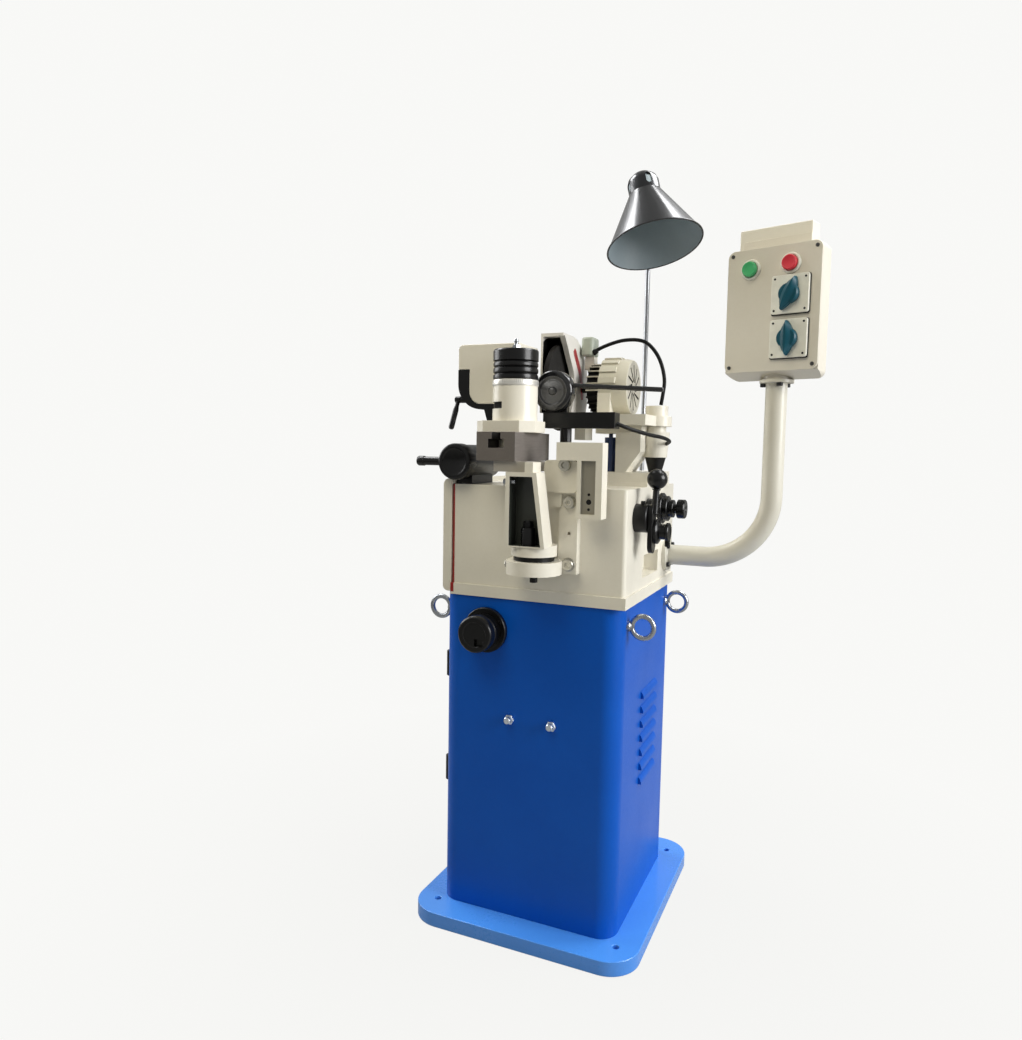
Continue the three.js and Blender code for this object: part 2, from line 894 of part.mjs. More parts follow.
// Four eye bolts, their rings standing in upright planes that face the front
function eyeBolt(name, side, y) {
  const wall = side < 0 ? cabinetLeft : cabinetRight;
  const z = cabinetTop - eyeBelowTop;
  const ring = new THREE.TorusGeometry(
    eyeRingRadius, eyeWireRadius, facets(eyeWireRadius), facets(eyeRingRadius + eyeWireRadius),
  );
  ring.rotateX(quarter);
  ring.translate(wall + side * eyeRingReach, y, z);
  const ends = (length) => [Math.min(wall, wall + side * length), Math.max(wall, wall + side * length)];
  const [c0, c1] = ends(eyeCollarLength);
  const [s0, s1] = ends(eyeRingReach - eyeRingRadius + eyeWireRadius / 2);
  piece(name, fuse(
    orient(ring),
    cylinder(eyeCollarRadius, c0, c1, 'x', 0, y, z),
    cylinder(eyeWireRadius, s0, s1, 'x', 0, y, z),
  ), steel);
}
eyeBolt('eye_bolt_front_left', -1, cabinetFront + eyeFrontInset);
eyeBolt('eye_bolt_front_right', 1, cabinetFront + eyeFrontInset);
eyeBolt('eye_bolt_rear_left', -1, cabinetBack - eyeRearInset);
eyeBolt('eye_bolt_rear_right', 1, cabinetBack - eyeRearInset);

// Stepped hand knob on the cabinet's front, turning on a bolted flange
const frontKnobX = cabinetLeft + frontKnobFromLeft;
const frontKnobZ = cabinetTop - frontKnobBelowTop;
let knobFlange = cylinder(knobFlangeRadius, 0, knobFlangeLength, '-y', frontKnobX, cabinetFront, frontKnobZ);
for (let i = 0; i < knobFlangeBoltCount; i += 1) {
  const angle = round * (i + 1 / 4) / knobFlangeBoltCount;
  const x = frontKnobX + knobFlangeBoltCircle * Math.cos(angle);
  const z = frontKnobZ + knobFlangeBoltCircle * Math.sin(angle);
  const tall = knobFlangeLength + knobFlangeBoltHeight;
  knobFlange = fuse(
    knobFlange,
    cylinder(knobFlangeBoltRadius, knobFlangeLength / 2, tall, '-y', x, cabinetFront, z),
  );
}
piece('knob_flange', knobFlange, black);
const knobStart = knobFlangeLength + runningClearance;
const knobHeadStart = knobStart + knobCollarLength + knobNeckLength;
const knobFace = knobHeadStart + knobHeadLength;
const knobBoltReach = knobFlangeBoltRadius + runningClearance;
const knobCollarReal = Math.min(knobCollarRadius, knobFlangeBoltCircle - knobBoltReach);
const frontKnob = cut(
  fuse(
    turned([
      [0, knobStart],
      [knobCollarReal, knobStart],
      [knobCollarReal, knobStart + knobCollarLength],
      [knobNeckRadius, knobStart + knobCollarLength],
      [knobNeckRadius, knobHeadStart],
      [knobHeadRadius, knobHeadStart],
      [knobHeadRadius, knobFace - knobHeadRim],
      [knobHeadRadius - knobHeadRim, knobFace],
      [0, knobFace],
    ], '-y', frontKnobX, cabinetFront, frontKnobZ),
  ),
  block(
    frontKnobX, frontKnobX + knobGripWidth,
    cabinetFront - knobFace - overrun, cabinetFront - knobFace + knobGripDepth,
    frontKnobZ - knobGripLowDrop, frontKnobZ - knobGripHighDrop,
  ),
);
piece('front_knob', frontKnob, black);

// Two bolts below the knob
for (const [name, side] of [['front_bolt_left', -1], ['front_bolt_right', 1]]) {
  const x = cabinetRight - frontBoltFromRight + side * frontBoltSpacing / 2;
  const z = cabinetTop - frontBoltBelowTop;
  piece(name, fuse(
    cylinder(frontBoltRadius, 0, frontBoltLength, '-y', x, cabinetFront, z),
    cylinder(frontBoltNutRadius, 0, frontBoltNutLength, '-y', x, cabinetFront, z, hexagonSideCount),
  ), steel);
}

// Cast body: box with skirt, linkage window on the right and a raised seat for the head
const bodyLeft = bodyOffsetX - bodyWidth / 2;
const bodyRight = bodyOffsetX + bodyWidth / 2;
const bodyFront = cabinetFront;
const bodyBack = bodyFront + postFromFront + bodyBehindPost;
const bodyTop = cabinetTop + bodyHeight;
const skirtTop = cabinetTop + skirtHeight;
const slabTop = bodyTop + slabHeight;
const slabRight = bodyRight - slabFromRight;
const slabFront = bodyFront + slabFromFront;
const slabBack = bodyBack - slabFromBack;
const windowFront = bodyFront + windowFromFront;
const windowBottom = skirtTop + windowAboveSkirt;
piece('body_casting', cut(
  fuse(
    pushed(
      roundedRectangle(bodyLeft, bodyRight, bodyFront, bodyBack, bodyEdgeRadius),
      cabinetTop, bodyTop, 'xy', coarseSegmentCount,
    ),
    block(bodyLeft, bodyRight + skirtReach, bodyFront - skirtReach, bodyBack, cabinetTop, skirtTop),
    block(slabRight - slabWidth, slabRight, slabFront, slabBack, bodyTop - overrun, slabTop),
    block(
      slabRight - slabWidth, slabRight, slabFront - slabStepReach, slabFront + overrun,
      bodyTop - overrun, bodyTop + slabStepHeight,
    ),
  ),
  block(
    bodyRight - windowRecess, bodyRight + overrun, windowFront, windowFront + windowDepth,
    windowBottom, windowBottom + windowHeight,
  ),
), cream);

// Cover on the body's left side, its outer edges rounded
const coverLeft = bodyLeft - sideCoverThickness;
const coverShape = new THREE.Shape();
const coverLow = cabinetTop + sideCoverLift;
const coverHigh = bodyTop + sideCoverRise;
coverShape.moveTo(bodyLeft, coverLow);
coverShape.lineTo(bodyLeft, coverHigh);
coverShape.lineTo(coverLeft + sideCoverCorner, coverHigh);
corner(coverShape, coverLeft + sideCoverCorner, coverHigh - sideCoverCorner, sideCoverCorner, quarter);
coverShape.lineTo(coverLeft, coverLow + sideCoverCorner);
corner(coverShape, coverLeft + sideCoverCorner, coverLow + sideCoverCorner, sideCoverCorner, Math.PI);
piece('left_side_cover', pushed(
  coverShape, bodyFront, bodyBack - sideCoverCorner, 'xz', coarseSegmentCount,
), cream);

// Bent tube from the body's right side up to the control box
const tubeY = bodyBack - tubeFromBack;
const tubeZ = bodyTop - tubeBelowTop;
const tubeX = bodyRight + tubeReach;
const tubeTop = tubeZ + tubeRise;
const tubePath = [[bodyRight + tubeFlangeLength / 2, tubeY, tubeZ]];
for (let i = 0; i <= bendStepCount; i += 1) {
  const angle = quarter * i / bendStepCount;
  const x = tubeX - tubeBendRadius + tubeBendRadius * Math.sin(angle);
  const z = tubeZ + tubeBendRadius - tubeBendRadius * Math.cos(angle);
  tubePath.push([x, tubeY, z]);
}
tubePath.push([tubeX, tubeY, tubeTop - tubeTopPlateLength / 2]);
const tubePoints = tubePath.map(([x, y, z]) => new THREE.Vector3(x, y, z));
let tubeArm = fuse(
  tubeAlong(tubePoints, tubeRadius, facets(tubeRadius)),
  cylinder(tubeFlangeRadius, bodyRight, bodyRight + tubeFlangeLength, 'x', 0, tubeY, tubeZ),
  cylinder(tubeTopPlateRadius, tubeTop - tubeTopPlateLength, tubeTop, 'z', tubeX, tubeY, 0),
);
for (let i = 0; i < tubeBoltCount; i += 1) {
  const angle = round * (i + 1 / 2) / tubeBoltCount;
  const y = tubeY + tubeBoltCircle * Math.cos(angle);
  const z = tubeZ + tubeBoltCircle * Math.sin(angle);
  const from = bodyRight + tubeFlangeLength / 2;
  const to = bodyRight + tubeFlangeLength + tubeBoltLength;
  tubeArm = fuse(tubeArm, cylinder(tubeBoltRadius, from, to, 'x', 0, y, z, hexagonSideCount));
}
piece('tube_arm', tubeArm, cream);

// Control box, built about the tube's top and turned to face the operator
const controlBox = new THREE.Group();
controlBox.position.set(tubeX, tubeY, tubeTop);
controlBox.rotation.z = boxTurn;
machine.add(controlBox);
const lidFace = -boxTubeBehindFace;
const lidBack = lidFace + lidThickness;
const panFront = lidBack + runningClearance;
const panBack = lidBack + boxDepth;
const boxMiddle = boxUnderSlope + boxHeight / 2;
const boxTopZ = boxUnderSlope + boxHeight;
const panOutline = roundedRectangle(-boxWidth / 2, boxWidth / 2, 0, boxTopZ, boxCornerRadius);
const panProfile = outline([
  [panFront, boxUnderSlope], [panBack, 0], [panBack, boxTopZ], [panFront, boxTopZ],
]);
function lidSpots(reach) {
  const [outX, outZ] = [boxWidth / 2 - reach, boxHeight / 2 - reach];
  return [[-outX, -outZ], [-outX, outZ], [outX, -outZ], [outX, outZ]].map(([x, z]) => [x, boxMiddle + z]);
}
const greenAt = [greenButtonX, boxMiddle + greenButtonZ];
const redAt = [redButtonX, boxMiddle + redButtonZ];
const buttonBore = buttonStemRadius + runningClearance;
let boxPan = pushed(panOutline, panFront, panBack, 'xz', coarseSegmentCount);
boxPan = boxPan.intersect(pushed(panProfile, -boxWidth, boxWidth, 'yz'));
boxPan = fuse(
  boxPan,
  cylinder(boxBossRadius, 0, boxBossHeight + boxUnderSlope, 'z', 0, 0, 0),
  pushed(
    roundedRectangle(
      boxBackShift - boxBackWidth / 2, boxBackShift + boxBackWidth / 2,
      boxBackLift, boxTopZ + boxBackRise, boxCornerRadius / 4,
    ),
    panBack - overrun, panBack + boxBackDepth, 'xz', smallSegmentCount,
  ),
);
boxPan = cut(
  boxPan,
  block(-boxWidth, boxWidth, panFront - boxDepth, panFront, -boxHeight, boxHeight + boxHeight),
);
for (const [x, z] of [greenAt, redAt]) {
  boxPan = cut(boxPan, bore(buttonBore, panFront - overrun, panFront + buttonLength, 'y', x, 0, z));
}
piece('box_pan', boxPan, paint(0xc9c3b4, 0.5, 0), controlBox);
let boxLid = pushed(
  roundedRectangle(-boxWidth / 2, boxWidth / 2, boxUnderSlope, boxTopZ, boxCornerRadius),
  lidFace, lidBack, 'xz', coarseSegmentCount,
);
for (const [x, z] of [greenAt, redAt]) {
  const bezelFront = lidFace - buttonBezelLength;
  boxLid = fuse(boxLid, cylinder(buttonBezelRadius, bezelFront, lidFace + lidThickness / 2, 'y', x, 0, z));
  boxLid = cut(
    boxLid,
    bore(buttonRadius + slideClearance, bezelFront - overrun, lidFace, 'y', x, 0, z),
    bore(buttonBore, bezelFront, lidBack + overrun, 'y', x, 0, z),
  );
}
for (const [x, z] of lidSpots(lidScrewInset)) {
  boxLid = cut(boxLid, cylinder(lidScrewRadius, lidFace - overrun, lidFace + lidScrewRecess, 'y', x, 0, z));
}
piece('box_lid', boxLid, paint(0xc9c3b4, 0.5, 0), controlBox);

function pushButton(name, [x, z], color) {
  const back = lidFace - buttonStroke - slideClearance;
  piece(name, fuse(
    cylinder(buttonRadius, back - buttonLength, back, 'y', x, 0, z),
    cylinder(buttonStemRadius, back - buttonLength / 2, panFront + buttonLength / 4, 'y', x, 0, z),
  ), paint(color, 0.35, 0), controlBox);
}
pushButton('green_button', greenAt, 0x3fae6c);
pushButton('red_button', redAt, 0xd2394a);

// Two cam switches: a square plate and a turning knob with a pointed grip
function camSwitch(level, plateName, knobName, turn) {
  const [x, z] = [switchPlateX, boxMiddle + level];
  const half = switchPlateSide / 2;
  const back = lidFace - runningClearance;
  const face = back - switchPlateThickness;
  piece(plateName, pushed(
    roundedRectangle(x - half, x + half, z - half, z + half, switchPlateCorner),
    face, back, 'xz', smallSegmentCount,
  ), paint(0xe4e4d8, 0.4, 0), controlBox);
  const knob = new THREE.Group();
  knob.position.set(x, face - switchKnobFloat, z);
  knob.rotation.y = turn;
  controlBox.add(knob);
  const grip = new THREE.Shape();
  grip.moveTo(0, -switchGripLength / 2);
  grip.quadraticCurveTo(switchGripWidth, 0, 0, switchGripLength / 2);
  grip.quadraticCurveTo(-switchGripWidth, 0, 0, -switchGripLength / 2);
  piece(knobName, fuse(
    cylinder(switchKnobRadius, -switchKnobHeight, 0, 'y', 0, 0, 0),
    pushed(grip, -switchGripHeight, 0, 'xz', coarseSegmentCount),
  ), paint(0x14596d, 0.3, 0), knob);
}
camSwitch(switchUpperZ, 'switch_plate_upper', 'switch_knob_upper', switchUpperTurn);
camSwitch(switchLowerZ, 'switch_plate_lower', 'switch_knob_lower', 0);

// Lamp: a stand on the body's rear right corner, a swivel arm and a tilting shade
const lampX = bodyRight - lampFromRight;
const lampY = bodyBack - lampFromBack;
const lampTop = bodyTop + lampRodHeight;
piece('lamp_stand', fuse(
  cylinder(lampBaseRadius, bodyTop, bodyTop + lampBaseHeight, 'z', lampX, lampY, 0),
  cylinder(lampRodRadius, bodyTop + lampBaseHeight / 2, lampTop, 'z', lampX, lampY, 0),
  cylinder(
    lampCollarRadius, lampTop - lampArmSocket - runningClearance - lampCollarHeight,
    lampTop - lampArmSocket - runningClearance, 'z', lampX, lampY, 0,
  ),
), steel);
const lampArmGroup = new THREE.Group();
lampArmGroup.position.set(lampX, lampY, lampTop);
lampArmGroup.rotation.z = lampTurn;
machine.add(lampArmGroup);
const armZ = lampCollarHeight / 2 - lampArmSocket;
const eyeThickness = lampYokeLength / 2;
const knuckleY = -lampArmLength;
piece('lamp_arm', cut(
  fuse(
    cylinder(lampCollarRadius, -lampArmSocket, lampCollarHeight - lampArmSocket, 'z', 0, 0, 0),
    cylinder(lampArmRadius, knuckleY + lampYokeReach, -lampRodRadius - overrun, 'y', 0, 0, armZ),
    cylinder(lampYokeRadius, -eyeThickness, 0, 'x', 0, knuckleY, armZ),
    block(
      -eyeThickness, 0, knuckleY, knuckleY + lampYokeReach + overrun,
      armZ - lampArmRadius, armZ + lampArmRadius,
    ),
  ),
  bore(lampRodRadius + runningClearance, -lampArmSocket - overrun, 0, 'z', 0, 0, 0),
), black, lampArmGroup);

// Shade: an open cone with a vented cap, its knuckle beside the arm's eye
const shadeAxis = new THREE.Vector3(...shadeAxisShares).normalize();
const neck = new THREE.Vector3(lampX + shadeRightOfRod, lampY - shadeAheadOfRod, lampTop);
const shadeGroup = new THREE.Group();
shadeGroup.position.copy(neck);
shadeGroup.quaternion.setFromUnitVectors(new THREE.Vector3(0, 0, 1), shadeAxis);
machine.add(shadeGroup);
const capShoulder = shadeCapHeight - shadeCapCrown;
const capRadius = shadeNeckRadius - shadeWall;
const shadeOuter = turned([
  [0, -shadeHeight],
  [shadeMouthRadius, -shadeHeight],
  [shadeNeckRadius, 0],
  [capRadius, 0],
  [capRadius, capShoulder],
  [(capRadius + shadeCapTopRadius) / 2 + shadeWall * 2, (capShoulder + shadeCapHeight) / 2],
  [shadeCapTopRadius, shadeCapHeight],
  [0, shadeCapHeight],
], 'z', 0, 0, 0);
const shadeInner = turned([
  [0, -shadeHeight - overrun],
  [shadeMouthRadius, -shadeHeight - overrun],
  [shadeMouthRadius - shadeWall, -shadeHeight],
  [shadeNeckRadius - shadeWall * 2, 0],
  [capRadius - shadeWall, capShoulder],
  [(capRadius + shadeCapTopRadius) / 2, (capShoulder + shadeCapHeight) / 2 - shadeWall],
  [shadeCapTopRadius - shadeWall, shadeCapHeight - shadeWall],
  [0, shadeCapHeight - shadeWall],
], 'z', 0, 0, 0);
const slot = roundedRectangle(
  -shadeSlotWidth / 2, shadeSlotWidth / 2,
  shadeSlotAboveNeck, shadeSlotAboveNeck + shadeSlotHeight, shadeSlotWidth / 2 - runningClearance,
);
const slotCutter = pushed(slot, 0, shadeNeckRadius * 2, 'xz', smallSegmentCount);
let lampShade = cut(shadeOuter, shadeInner);
for (let i = 0; i < shadeSlotCount; i += 1) {
  const turn = shadeSlotFirstDegrees + round * degrees * i / shadeSlotCount;
  lampShade = cut(lampShade, slotCutter.rotate([0, 0, turn]));
}
shadeGroup.updateMatrixWorld(true);
lampArmGroup.updateMatrixWorld(true);
const knuckleHome = lampArmGroup.localToWorld(new THREE.Vector3(0, knuckleY, armZ));
const lugReach = neck.distanceTo(knuckleHome) - capRadius + shadeWall / 2;
const shadeLug = fuse(
  cylinder(lampYokeRadius, runningClearance, eyeThickness, 'x', 0, 0, 0),
  block(runningClearance, eyeThickness, -lugReach, 0, -lampYokeRadius / 2, lampYokeRadius / 2),
);
const lugPlace = shadeGroup.matrixWorld.clone().invert()
  .multiply(new THREE.Matrix4().makeTranslation(knuckleHome.x, knuckleHome.y, knuckleHome.z))
  .multiply(new THREE.Matrix4().makeRotationZ(lampTurn));
lampShade = fuse(lampShade, shadeLug.transform(lugPlace.elements));
piece('lamp_shade', lampShade, paint(0x101214, 0.18, 0), shadeGroup);
piece('lamp_bulb', turned([
  [0, shadeCapHeight - shadeWall],
  [bulbNeckRadius, shadeCapHeight - shadeWall],
  [bulbNeckRadius, -bulbDepthInShade / 2],
  [bulbRadius * bulbTopShare, -bulbDepthInShade],
  [bulbRadius, -bulbDepthInShade - bulbRadius / 2],
  ...bulbEndShares.map(([x, z]) => [bulbRadius * x, -bulbDepthInShade - bulbRadius * z]),
], 'z', 0, 0, 0), paint(0xf2efe6, 0.4, 0), shadeGroup);

// Ball lever on the body's right side: hub, lever and the clamp knob on the lever's tail
const leverY = bodyFront + leverFromFront;
const leverZ = bodyTop - leverBelowTop;
const hubEnd = bodyRight + leverHubLength;
piece('lever_hub', fuse(
  cylinder(leverHubRadius, bodyRight, hubEnd, 'x', 0, leverY, leverZ),
  cylinder(
    leverHubScrewRadius, leverZ + leverHubRadius / 2, leverZ + leverHubRadius + leverHubScrewHeight,
    'z', bodyRight + leverHubLength / 2, leverY, 0,
  ),
), black);
const leverInner = hubEnd + runningClearance;
const leverOuter = leverInner + leverPlateThickness;
const leverPlate = new THREE.Shape();
leverPlate.absarc(leverY, leverZ + leverPlateRise, leverPlateHalfWidth, 0, Math.PI);
leverPlate.absarc(leverY, leverZ - leverPlateDrop, leverPlateHalfWidth, Math.PI, round);
const leverRodX = leverOuter - runningClearance;
const leverBall = new THREE.SphereGeometry(
  leverBallRadius, facets(leverBallRadius), facets(leverBallRadius) / 2,
);
const leverTop = new THREE.Vector3(
  leverRodX + leverPlateThickness / 4, leverY + leverPlateHalfWidth / 3, leverZ + leverRodLength,
);
leverBall.translate(leverTop.x, leverTop.y, leverTop.z);
piece('ball_lever', fuse(
  pushed(leverPlate, leverInner, leverOuter, 'yz', roundedSegmentCount),
  tubeAlong([
    new THREE.Vector3(leverRodX, leverY, leverZ + leverPlateRise),
    leverTop,
  ], leverRodRadius, facets(leverRodRadius)),
  orient(leverBall),
), black);
const clampZ = leverZ - clampKnobDrop;
const clampY = leverY + clampKnobBehind;
const clampStart = leverOuter + runningClearance;
const waistStart = clampStart + clampKnobBaseLength;
const clampEndStart = waistStart + clampKnobWaistLength;
const clampEnd = clampEndStart + clampKnobEndLength;
const clampRoom = clampKnobDrop + leverPlateRise - leverRodRadius - runningClearance;
const clampBaseReal = Math.min(clampKnobBaseRadius, clampRoom);
piece('clamp_knob', fuse(
  turned([
    [0, clampStart],
    [clampBaseReal, clampStart],
    [clampBaseReal, clampStart + clampKnobBaseLength / 2],
    [clampKnobWaistRadius, waistStart],
    [clampKnobWaistRadius, clampEndStart],
    [clampKnobEndRadius, clampEndStart],
    [clampKnobEndRadius, clampEnd],
    [0, clampEnd],
  ], 'x', 0, clampY, clampZ),
  cylinder(
    clampKnobPinRadius, clampZ - clampKnobEndRadius - clampKnobPinLength, clampZ - clampKnobEndRadius / 2,
    'z', (clampEndStart + clampEnd) / 2 - runningClearance, clampY, 0,
  ),
), black);

// Stepped handwheel further back on the same side
const wheelY = bodyFront + sideWheelFromFront;
const wheelZ = bodyTop - sideWheelBelowTop;
const sideWheelProfile = [[0, 0]];
let reached = 0;
for (const [radius, length] of [
  [sideWheelBossRadius, sideWheelBossLength],
  [sideWheelRimRadius, sideWheelRimLength],
  [sideWheelStepRadius, sideWheelStepLength],
  [sideWheelHubRadius, sideWheelHubLength],
  [sideWheelNeckRadius, sideWheelNeckLength],
  [sideWheelEndRadius, sideWheelEndLength],
]) {
  sideWheelProfile.push([radius, reached]);
  reached += length;
  sideWheelProfile.push([radius, reached]);
}
sideWheelProfile.push([0, reached]);
piece('side_handwheel', turned(sideWheelProfile, 'x', bodyRight + runningClearance, wheelY, wheelZ), black);

// Blade holder bracket: one casting with an upright plate, a half-round shelf and an upper block
const pivotX = bodyRight - pivotFromRight;
const pivotY = bodyFront - pivotForward;
const holderPlateMiddle = bodyRight - holderPlateFromRight;
const holderPlateLeft = holderPlateMiddle - holderPlateWidth / 2;
const holderPlateRight = holderPlateMiddle + holderPlateWidth / 2;
const holderBoltX = holderPlateMiddle + holderBoltFromPlate;
const holderPlateFront = bodyFront - holderPlateThickness;
const holderPlateTop = bodyTop - holderPlateBelowTop;
const shelfTop = bodyTop - shelfBelowTop;
const shelfBottom = shelfTop - shelfThickness;
const holderPlateBottom = Math.min(holderPlateTop - holderPlateHeight, shelfBottom - overrun);
const upperMiddle = bodyRight - upperBlockFromRight;
const upperLeft = upperMiddle - upperBlockWidth / 2;
const upperRight = upperMiddle + upperBlockWidth / 2;
const armFront = bodyFront - upperArmDepth;
const upperFront = bodyFront - upperBlockDepth;
const upperTop = holderPlateTop + upperBlockHeight;
let holderBracket = fuse(
  block(holderPlateLeft, holderPlateRight, holderPlateFront, bodyFront, holderPlateBottom, holderPlateTop),
  cylinder(shelfRadius, shelfBottom, shelfTop, 'z', pivotX, pivotY, 0),
  block(pivotX - shelfRadius, holderPlateLeft + overrun * 2, pivotY, bodyFront, shelfBottom, shelfTop),
  pushed(
    roundedRectangle(upperLeft, upperRight, holderPlateTop, upperTop, upperBlockRadius),
    upperFront, bodyFront, 'xz', coarseSegmentCount,
  ),
  pushed(
    roundedRectangle(
      upperLeft, upperLeft + upperArmWidth, holderPlateTop - upperArmHeight,
      holderPlateTop + upperBlockRadius * 2, upperBlockRadius / 2,
    ),
    armFront, bodyFront, 'xz', smallSegmentCount,
  ),
  block(
    upperLeft + upperArmWidth - overrun, holderPlateRight, armFront, bodyFront,
    holderPlateTop - overrun, holderPlateTop + upperBlockRadius,
  ),
);
for (const z of [holderPlateTop - holderBoltInset, holderPlateBottom + holderBoltInset]) {
  const tip = holderPlateFront - holderBoltHeight;
  holderBracket = cut(
    fuse(holderBracket, cylinder(holderBoltRadius, tip, holderPlateFront + overrun, 'y', holderBoltX, 0, z)),
    cylinder(
      holderBoltSocketRadius, tip - overrun, tip + holderBoltHeight / 2,
      'y', holderBoltX, 0, z, hexagonSideCount,
    ),
  );
}
holderBracket = cut(
  holderBracket,
  cylinder(
    holderHoleRadius, holderPlateFront - overrun, holderPlateFront + holderPlateThickness / 2,
    'y', holderBoltX, 0, (holderPlateTop + holderPlateBottom) / 2,
  ),
  bore(pivotPinRadius + runningClearance, shelfBottom - overrun, shelfTop + overrun, 'z', pivotX, pivotY, 0),
  block(-bodyWidth, bodyWidth, bodyFront, bodyBack, cabinetTop, upperTop + overrun),
);
piece('holder_bracket', holderBracket, cream);

// Swivel washer with the pivot pin through the shelf
const washerBottom = shelfTop + runningClearance;
const washerTop = washerBottom + washerThickness;
piece('pivot_pin', fuse(
  cylinder(washerRadius, washerBottom, washerTop, 'z', pivotX, pivotY, 0),
  cylinder(
    pivotPinRadius, shelfBottom - pivotPinReach, washerTop - washerThickness / 2, 'z', pivotX, pivotY, 0,
  ),
), black);

// Column: a channel open to the front, wider at its foot, on a round base
const channelBottom = washerTop + columnBaseHeight;
const columnTop = channelBottom + columnHeight;
const columnLeft = pivotX - columnLeftReach;
const columnRightLow = pivotX + columnRightReachLow;
const columnRightHigh = pivotX + columnRightReachHigh;
const columnFront = pivotY - columnForward;
const columnRear = columnFront + columnDepth;
const footRight = pivotX - footLeftOfPivot + footWidth;
const lockScrewZ = columnTop - lockScrewBelowTop;
const lockScrewY = columnFront + lockScrewHeadRadius + runningClearance;
let swivelColumn = fuse(
  cylinder(columnBaseRadius, washerTop, channelBottom, 'z', pivotX, pivotY, 0),
  pushed(outline([
    [columnLeft, channelBottom - overrun], [columnRightLow, channelBottom - overrun],
    [columnRightHigh, columnTop], [columnLeft, columnTop],
  ]), columnFront, columnRear, 'xz'),
  block(
    footRight + runningClearance, footRight + runningClearance + columnCapWidth,
    columnFront + overrun, columnRear, columnTop - columnWall, columnTop + columnCapHeight,
  ),
);
swivelColumn = cut(
  swivelColumn,
  pushed(outline([
    [columnLeft + columnWall, channelBottom], [columnRightLow - columnWall, channelBottom],
    [columnRightHigh - columnWall, columnTop - columnWall], [columnLeft + columnWall, columnTop - columnWall],
  ]), columnFront - overrun, columnRear - columnBackWall, 'xz'),
  bore(
    lockScrewRadius + runningClearance, columnLeft - overrun, columnLeft + columnWall + overrun,
    'x', 0, lockScrewY + overrun, lockScrewZ - columnWall,
  ),
);
piece('swivel_column', swivelColumn, cream);
piece('lock_screw', fuse(
  cylinder(
    lockScrewRadius, columnLeft - overrun, columnLeft + lockScrewLength,
    'x', 0, lockScrewY + overrun, lockScrewZ - columnWall,
  ),
  cylinder(
    lockScrewHeadRadius, columnLeft - lockScrewHeadLength, columnLeft,
    'x', 0, lockScrewY + overrun, lockScrewZ - columnWall, hexagonSideCount,
  ),
), steel);

// T-slot block on its foot
const blockLeft = pivotX - blockLeftOfPivot;
const blockRight = blockLeft + blockWidth;
const blockFront = pivotY - blockForward;
const blockBack = blockFront + blockDepth;
const footTop = columnTop + footHeight;
const blockTop = footTop + blockHeight;
const slotX = blockLeft + slotFromLeft;
piece('tslot_block', cut(
  fuse(
    block(blockLeft, blockRight, blockFront, blockBack, footTop, blockTop),
    block(
      footRight - footWidth, footRight, blockFront + footSetback, blockFront + footSetback + footDepth,
      columnTop, footTop,
    ),
    block(
      footRight - footWidth, blockRight, blockFront + footSetback, blockFront + footSetback + footDepth,
      footTop - overrun, footTop + overrun,
    ),
  ),
  block(
    slotX - slotStemWidth / 2, slotX + slotStemWidth / 2, blockFront - overrun, blockBack + overrun,
    blockTop - slotStemDepth - overrun, blockTop + overrun,
  ),
  block(
    slotX - slotHeadWidth / 2, slotX + slotHeadWidth / 2, blockFront - overrun, blockBack + overrun,
    blockTop - slotStemDepth - slotHeadDepth, blockTop - slotStemDepth,
  ),
), greyMetal);

// Feed head: flange, barrel and scale ring, keyed in the T-slot
const barrelX = slotX + headBarrelFromSlot;
const barrelY = blockFront + headBarrelBehindFace;
const flangeTop = blockTop + headFlangeHeight;
const barrelTop = flangeTop + headBarrelHeight;
const scaleTop = barrelTop + scaleRingHeight;
const flangeBack = barrelY + headFlangeBack;
const flangeFront = barrelY - headFlangeFront;
const flangeLeft = barrelX - headFlangeLeft;
const flangeRight = barrelX + headFlangeRight;
const c = headFlangeChamfer;
const keyStem = slotStemWidth / 2 - slideClearance;
const keyHead = slotHeadWidth / 2 - slideClearance;
piece('feed_head', cut(
  fuse(
    pushed(outline([
      [flangeLeft + c, flangeFront], [flangeRight - c, flangeFront], [flangeRight, flangeFront + c],
      [flangeRight, flangeBack - c], [flangeRight - c, flangeBack], [flangeLeft, flangeBack],
      [flangeLeft, flangeFront + c],
    ]), blockTop, flangeTop, 'xy'),
    cylinder(headBarrelRadius, flangeTop - overrun, barrelTop, 'z', barrelX, barrelY, 0),
    cylinder(headBarrelRadius - runningClearance, barrelTop - overrun, scaleTop, 'z', barrelX, barrelY, 0),
    block(
      slotX - keyStem, slotX + keyStem, barrelY - keyLength / 2, barrelY + keyLength / 2,
      blockTop - slotStemDepth - overrun, blockTop + overrun,
    ),
    block(
      slotX - keyHead, slotX + keyHead, barrelY - keyLength / 2, barrelY + keyLength / 2,
      blockTop - slotStemDepth - slotHeadDepth + slideClearance, blockTop - slotStemDepth - slideClearance,
    ),
  ),
  block(
    barrelX - headBarrelRadius - overrun, barrelX - headBarrelRadius + headNotchWidth,
    barrelY - headBarrelRadius - overrun, barrelY - headBarrelRadius + headNotchDepth,
    flangeTop + headNotchLift, flangeTop + headNotchLift + headNotchHeight,
  ),
), cream);

